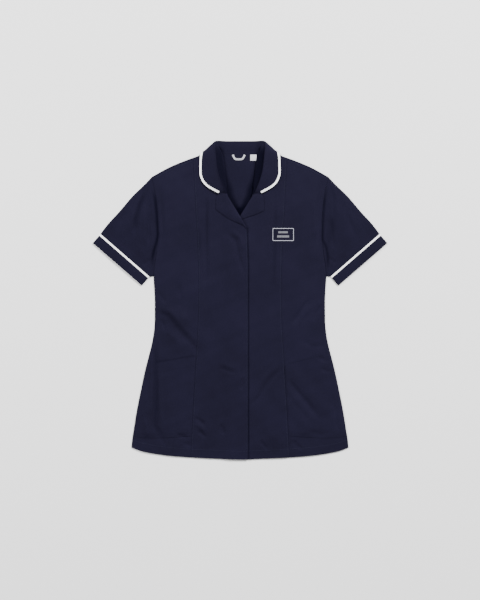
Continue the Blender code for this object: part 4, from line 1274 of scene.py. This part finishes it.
@dataclass
class Sleeves:
    """Both sleeves with their braid and cuffs, each a flattened tube of closed rings."""

    columns: int = 60
    rows: int = 60
    braid_rows: int = 8
    cuff_rows: int = 20
    folds: tuple[Crease, ...] = tuple(starmap(fold, (
        (232, 236, 262, 150, 1.2, 15), (282, 186, 250, 110, 1, 17), (-240, 252, -276, 168, 1.4, 14),
        (-232, 204, -236, 118, 1.3, 14),
    )))
    creases: tuple[Crease, ...] = tuple(starmap(Crease, (
        (((213, 284), (224, 246), (222, 196)), -0.9, 4), (((226, 270), (234, 236), (232, 190)), 0.6, 4.6),
        (((219, 196), (220, 158), (226, 120)), -1.5, 4.6), (((250, 216), (268, 176), (283, 144)), -0.7, 5.4),
        (((262, 214), (280, 176)), 0.4, 6), (((212, 101), (232, 87)), -0.9, 4),
        (((-222, 268), (-238, 228), (-249, 190), (-254, 150)), -2.9, 5),
        (((-231, 264), (-247, 228), (-260, 190), (-266, 160)), 1.4, 5.4),
        (((-217, 234), (-219, 180), (-218, 122)), -1.9, 4.4),
        (((-226, 224), (-229, 180), (-228, 132)), 1.2, 4.6), (((-276, 216), (-289, 182)), -1.1, 5.4),
        (((-213, 98), (-234, 83)), -0.9, 4),
    )))
    ripple_seed: int = 11
    thickness: float = 0.6
    seam_gap: float = 0.1
    length: float = 90.0
    flat_top: float = 2.3
    least: float = 1.75
    fullness: float = 1.0
    allowance: float = 0.5
    fold_share: float = 0.35
    fold_points: int = 3
    braid_proud: float = 0.25
    cuff_swell: float = 0.35
    cuff_ditch: Pair = (0.35, 1.2)
    # Painted shade added evenly over the upper side of each sleeve, braid and cuff.
    tone: float = 0.08
    full_over: float = 0.35
    folds_end: Pair = (0.6, 0.4)
    fine_end: Pair = (0.8, 0.2)
    allowance_from: float = 2.0
    allowance_end: Pair = (8.0, 5.0)
    # Height over which the painted shade fades in from the table.
    tone_height: float = 1.5

    def across(self, above: Array | float) -> Array:
        """Lines across the sleeve from overarm to underarm, at distances above the cuff's edge."""
        outer, inner = np.array(SIZES.cuff_outer), np.array(SIZES.cuff_inner)
        along = unit(outer - inner)
        lift = np.asarray(above)[..., None] * (-along[1], along[0])
        return np.linspace(outer + lift, inner + lift, self.columns + 1, axis=-2)

    def plan(self) -> Array:
        """Plan from the armhole to the braid, columns from the overarm fold to the underarm."""
        heights = np.linspace(SIZES.shoulder_point[1], SIZES.underarm_y, self.columns + 1)
        armhole = joined(half_width(heights) + self.seam_gap, heights)
        cuff_line = self.across(SIZES.cuff_braid[1])
        arm_x = np.linspace(armhole[0, 0], cuff_line[0, 0], self.rows + 1)
        overarm = joined(arm_x, overarm_line(arm_x))
        overarm[0], overarm[-1] = armhole[0], cuff_line[0]
        return patch(armhole, cuff_line, overarm, np.linspace(armhole[-1], cuff_line[-1], self.rows + 1))

    def top(self, plan: Array, side: Side) -> Array:
        """Upper surface: level with the front at the armhole, fuller beyond it, with its own creases."""
        v = np.linspace(0, 1, len(plan))[:, None]
        u = np.linspace(0, 1, plan.shape[1])
        x, y = plan[..., 0] * side.value, plan[..., 1]
        full = np.sqrt(np.clip(4 * u * (1 - u), 0, 1)) * ramp(v / self.full_over)
        folds = summed(self.folds, x, y) * (1 - rise(v, *self.folds_end))
        from_seam = v * self.length
        allowance = self.allowance * ramp(from_seam / self.allowance_from)
        allowance = allowance * (1 - rise(from_seam, *self.allowance_end))
        fine = (summed(self.creases, x, y) + ripples(x, y, self.ripple_seed)) * (1 - rise(v, *self.fine_end))
        edges = np.clip(np.minimum(u, 1 - u) * 14, 0, 1)
        top = self.flat_top + (self.fullness + folds) * full + (fine + allowance) * edges
        return soft_floor(top + seam_ditch(from_seam, 0.6), self.least, 0.3)

    def ring(self, plan: Array, top: Array) -> tuple[Array, Array]:
        """Closed rings: along the table side, round one fold, back over the upper side, round the other.

        Args:
            plan: Rows by columns by 2.
            top: Height of the upper surface at each of those points.

        Returns:
            Points of the rings, and their crosswise and lengthwise distances for the weave.
        """
        flat = plan.copy()
        flat[:, 0] += (plan[:, 1] - plan[:, 0]) * self.fold_share
        flat[:, -1] += (plan[:, -2] - plan[:, -1]) * self.fold_share
        angles = np.linspace(0, np.pi, self.fold_points + 2)[1:-1]

        def rounded(column: int, turn: Array) -> Array:
            """Half round between the two surfaces at one side."""
            inner = flat[:, column, None]
            out = inner + (plan[:, column, None] - inner) * np.sin(turn)[:, None]
            return joined(out[..., 0], out[..., 1], top[:, column, None] * (1 - np.cos(turn)) / 2)

        x, y = flat[..., 0], flat[..., 1]
        sides = rounded(-1, angles), rounded(0, angles[::-1])
        ring = np.concatenate([joined(x, y, 0.0), sides[0], joined(x, y, top)[:, ::-1], sides[1]], axis=1)
        around = np.cumsum(spans(np.concatenate([ring[:, :1], ring], axis=1), 1), axis=1)
        return ring, joined(around, np.cumsum(spans(np.concatenate([ring[:1], ring])), axis=0))

    def tube(self, name: str, plan: Array, top: Array, side: Side, finish: WovenFinish) -> Shell:
        """One tube on its side, which is a trim where it is braid."""
        ring, uv = self.ring(plan, top)
        ring = ring * (side.value, 1, 1)
        # Painted shade: the seam and fold lines plus an even darkening, fading out towards the table.
        shade = (painted_line_shade(ring[..., 0], ring[..., 1]) + self.tone) * ramp(ring[..., 2] / self.tone_height)
        return Shell(
            f"{name}_{side.word}", ring, finish, self.thickness, ("floor",), uv=uv, ring=True,
            flip=side is Side.LEFT, trim=finish is WHITE_BRAID, shade=shade,
        )

    def build(self) -> None:
        """Makes sleeve, braid and cuff on each side; the braid stands a little proud."""
        plan = self.plan()
        low, high = SIZES.cuff_braid
        share = np.linspace(0, 1, self.cuff_rows + 1)[:, None]
        swell = self.cuff_swell * np.sin(np.pi * share) + seam_ditch(share * low, *self.cuff_ditch)
        braid_lines = self.across(np.linspace(high, low, self.braid_rows + 1))
        cuff_lines = self.across(np.linspace(low, 0.0, self.cuff_rows + 1))
        for side in Side:
            top = self.top(plan, side)
            self.tube("sleeve", plan, top, side, NAVY).build()
            height = np.repeat(top[-1:], self.braid_rows + 1, axis=0) + self.braid_proud
            braid = self.tube("cuff_braid", braid_lines, height, side, WHITE_BRAID).build()
            self.tube("cuff", cuff_lines, top[-1:] + swell, side, NAVY).build([braid])


@dataclass
class BackNeck:
    """Hanging loop and blank size label, both caught in the back neck seam."""

    loop_width: float = 4.5
    loop_path: Path = (
        (-17.4, 348.2), (-14.2, 341.6), (-12.4, 338.9), (-9.2, 337.5), (-3, 337.3), (3.2, 337.5),
        (6.4, 338.9), (8.2, 341.6), (11.4, 348.2),
    )
    loop_length: float = 60.0
    loop_rise: Pair = (0.3, 1.1)
    label_x: Pair = (24.6, 39.6)
    label_y: Pair = (334.2, 348.4)
    label_rise: Pair = (0.65, 0.35)
    thickness: Pair = (0.6, 0.5)

    def build(self) -> list[Piece]:
        """Makes the loop as a strip along its path, and the label as a slightly bowed flap.

        Returns:
            The loop, which is a trim of the back.
        """
        corners = np.array(self.loop_path)
        run = run_along(corners)
        places = np.linspace(0, run[-1], 40)
        path = joined(*(smooth_curve(run, values)(places) for values in corners.T))
        way = unit(np.gradient(path, axis=0))
        share = np.linspace(-1, 1, 7)
        out = share * self.loop_width / 2
        x, y = np.moveaxis(path[:, None] + joined(-way[:, 1], way[:, 0])[:, None] * out[:, None], -1, 0)
        along = np.linspace(0, 1, len(path))[:, None]
        low, arch = self.loop_rise
        height = back_top(x, y) + low + arch * np.sin(np.pi * along) - 0.1 * share**2
        loop = Shell(
            "hanger_loop", joined(x, y, height), GREY_TAPE, self.thickness[0], word="_tape",
            uv=joined(out, along * self.loop_length), flip=True, trim=True,
        ).build()
        x, y = np.linspace(*self.label_x, 17), np.linspace(*self.label_y, 17)[:, None]
        low, bow = self.label_rise
        height = back_top(x, y) + low + bow * np.sin(np.pi * (y - y[0]) / (y[-1] - y[0]))
        Shell("size_label", joined(x, y, height), LABEL_SATIN, self.thickness[1], ("back",), "_tape").build()
        return [loop]


@dataclass
class ChestPrint:
    """A generic printed box on the left chest: an outline around two plain bars.

    The outline's line is given as its upright and its level width, and a bar as middle x, y, width, height.
    """

    centre: Pair = (103.6, 157.0)
    size: Pair = (50.3, 30.1)
    radius: float = 1.6
    line: Pair = (0.78, 1.0)
    bars: tuple[tuple[float, ...], ...] = ((103.2, 162.4, 22.8, 4.8), (103.4, 152.4, 28.8, 5.2))
    proud: float = 0.12
    thickness: float = 0.1

    def film(self, name: str, x: Array, y: Array, finish: WovenFinish) -> Piece:
        """A thin film over a grid of plan points, following the cloth."""
        height = FRONT.top(x, y) + seam_ditch(x - princess_x(y)) / 2 + self.proud
        return Shell(name, joined(x, y, height), finish, self.thickness, word="", trim=True).build()

    def build(self) -> list[Piece]:
        """Makes the outline as a closed band with small round corners, and the bars.

        Returns:
            The films.
        """
        angle = np.linspace(0, np.pi / 2, 5) + np.arange(4)[:, None] * np.pi / 2
        corners = np.array(((1, 1), (-1, 1), (-1, -1), (1, -1))) * (np.array(self.size) / 2 - self.radius)
        table = joined(np.cos(angle), np.sin(angle), *corners.T[..., None]).reshape(-1, 4)
        table = np.concatenate([table, table[:1]])
        out_x, out_y, x, y = along_line(table, np.linspace(0, run_along(table)[-1], 160)).T[..., None]
        inward = np.linspace(0, 1, 4)
        x = self.centre[0] + x + out_x * (self.radius - inward * self.line[0])
        y = self.centre[1] + y + out_y * (self.radius - inward * self.line[1])
        films = [self.film("chest_print_outline", x, y, PRINT_LINE)]
        for number, (cx, cy, w, h) in enumerate(self.bars, 1):
            x, y = np.linspace(cx - w / 2, cx + w / 2, 30), np.linspace(cy - h / 2, cy + h / 2, 8)[:, None]
            films.append(self.film(f"chest_print_bar_{number}", x, y, PRINT_BAR))
        return films


@dataclass
class Sewing:
    """Rows of stitches: each stitch is a short four-sided bar of thread, sunk at both ends."""

    stitch: float = 2.6
    gap: float = 0.9
    thread: float = 0.34
    rings: int = 5

    def row(self, line: Array) -> Array:
        """Stitches along a line on the surface, each a bar whose middle rises as sin(pi t) above the cloth.

        Args:
            line: Points on the surface, n by 3, in millimetres.

        Returns:
            Points of the stitches: by stitch, by cross-section, by corner, by 3.
        """
        length = run_along(line)[-1]
        count = max(int(length / (self.stitch + self.gap)), 1)
        starts = (np.arange(count) + 0.5) * length / count - self.stitch / 2
        t = np.linspace(0, 1, self.rings)
        places = starts[:, None] + t * self.stitch
        centre = along_line(line, places.ravel()).reshape(count, self.rings, 3)
        up = np.array([0.0, 0.0, 1.0])
        across = unit(np.cross(unit(centre[:, -1] - centre[:, 0]), up))[:, None]
        bow = np.sin(np.pi * t)[:, None]
        rise, size = self.thread * (bow - 0.45), self.thread * (0.55 + 0.45 * bow)
        corners = [
            centre + across * size * out + up * (rise + size * lift)
            for out, lift in ((1, 0), (0, 0.8), (-1, 0), (0, -0.8))
        ]
        return np.stack(corners, axis=2)

    def build(self, name: str, lines: Sequence[Array], finish: WovenFinish) -> Piece:
        """Joins rows of stitches into one piece.

        Args:
            name: The piece's name.
            lines: Lines on the surface, in millimetres.
            finish: The thread.

        Returns:
            The stitches' object.
        """
        points = np.concatenate([self.row(line) for line in lines])
        index = np.arange(points.size // 3).reshape(points.shape[:3])
        after = np.roll(index, -1, axis=2)
        sides = np.stack([index[:, :-1], after[:, :-1], after[:, 1:], index[:, 1:]], axis=-1).reshape(-1, 4)
        quads = np.concatenate([sides, index[:, 0, ::-1], index[:, -1]])
        points = points.reshape(-1, 3)
        LOG.info("%s: %d stitches", name, len(index))
        return made(name, points, quads, points[:, :2], finish)


# The set


@dataclass
class Studio:
    """Pale floor, soft lights and the camera straight above the middle of the garment."""

    lens: float = 85.0
    view_height: float = 1.44
    sensor: float = 36.0
    far: float = 20.0
    floor_size: float = 8.0
    floor_drop: float = 0.0002
    floor_tone: float = 0.80
    floor_roughness: float = 0.9
    key: float = 1400.0
    fill: float = 240.0
    world: float = 0.62
    world_tint: Colour = (0.98, 0.98, 1.0)

    def light(self, name: str, place: tuple[float, float, float], size: float, power: float) -> None:
        """A square soft light that faces the garment's middle."""
        data = bpy.data.lights.new(name, "AREA")
        data.size, data.energy = size, power
        lamp = placed(name, data, place)
        lamp.rotation_euler = (-lamp.location).to_track_quat("-Z", "Y").to_euler()

    def build(self) -> None:
        """Makes the floor, the lights and the camera, whose height follows from the lens."""
        half = self.floor_size / 2
        mesh = bpy.data.meshes.new("floor")
        corners = [(x * half, y * half, 0.0) for x, y in ((-1, -1), (1, -1), (1, 1), (-1, 1))]
        mesh.from_pydata(corners, [], [range(4)])
        material = bpy.data.materials.new("pale_floor")
        material.use_nodes = True
        shader = material.node_tree.nodes["Principled BSDF"]
        shader.inputs["Base Color"].default_value = (*(self.floor_tone,) * 3, 1.0)
        shader.inputs["Roughness"].default_value = self.floor_roughness
        mesh.materials.append(material)
        placed("floor", mesh, (0.0, 0.0, -self.floor_drop))
        self.light("key_light", (3.2, 4.5, 3.75), 2.2, self.key)
        self.light("fill_light", (-3.2, 1.6, 2.2), 1.8, self.fill)
        scene = bpy.context.scene
        scene.world = bpy.data.worlds.new("studio")
        scene.world.use_nodes = True
        background = scene.world.node_tree.nodes["Background"]
        background.inputs["Color"].default_value = (*self.world_tint, 1.0)
        background.inputs["Strength"].default_value = self.world
        data = bpy.data.cameras.new("photo_camera")
        data.lens, data.sensor_width, data.clip_end = self.lens, self.sensor, self.far
        scene.camera = placed("photo_camera", data, (0.0, 0.0, self.view_height * self.lens / self.sensor))


def main() -> None:
    """Builds the tunic piece by piece."""
    logging.basicConfig(level=logging.INFO, format="%(message)s")
    for item in list(bpy.data.objects):
        bpy.data.objects.remove(item, do_unlink=True)
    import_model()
    Studio().build()
    Back().build(BackNeck().build())
    Fronts().build(ChestPrint().build())
    Sleeves().build()
    Collar().build()
    Lapels().build()


if __name__ == "__main__":
    main()
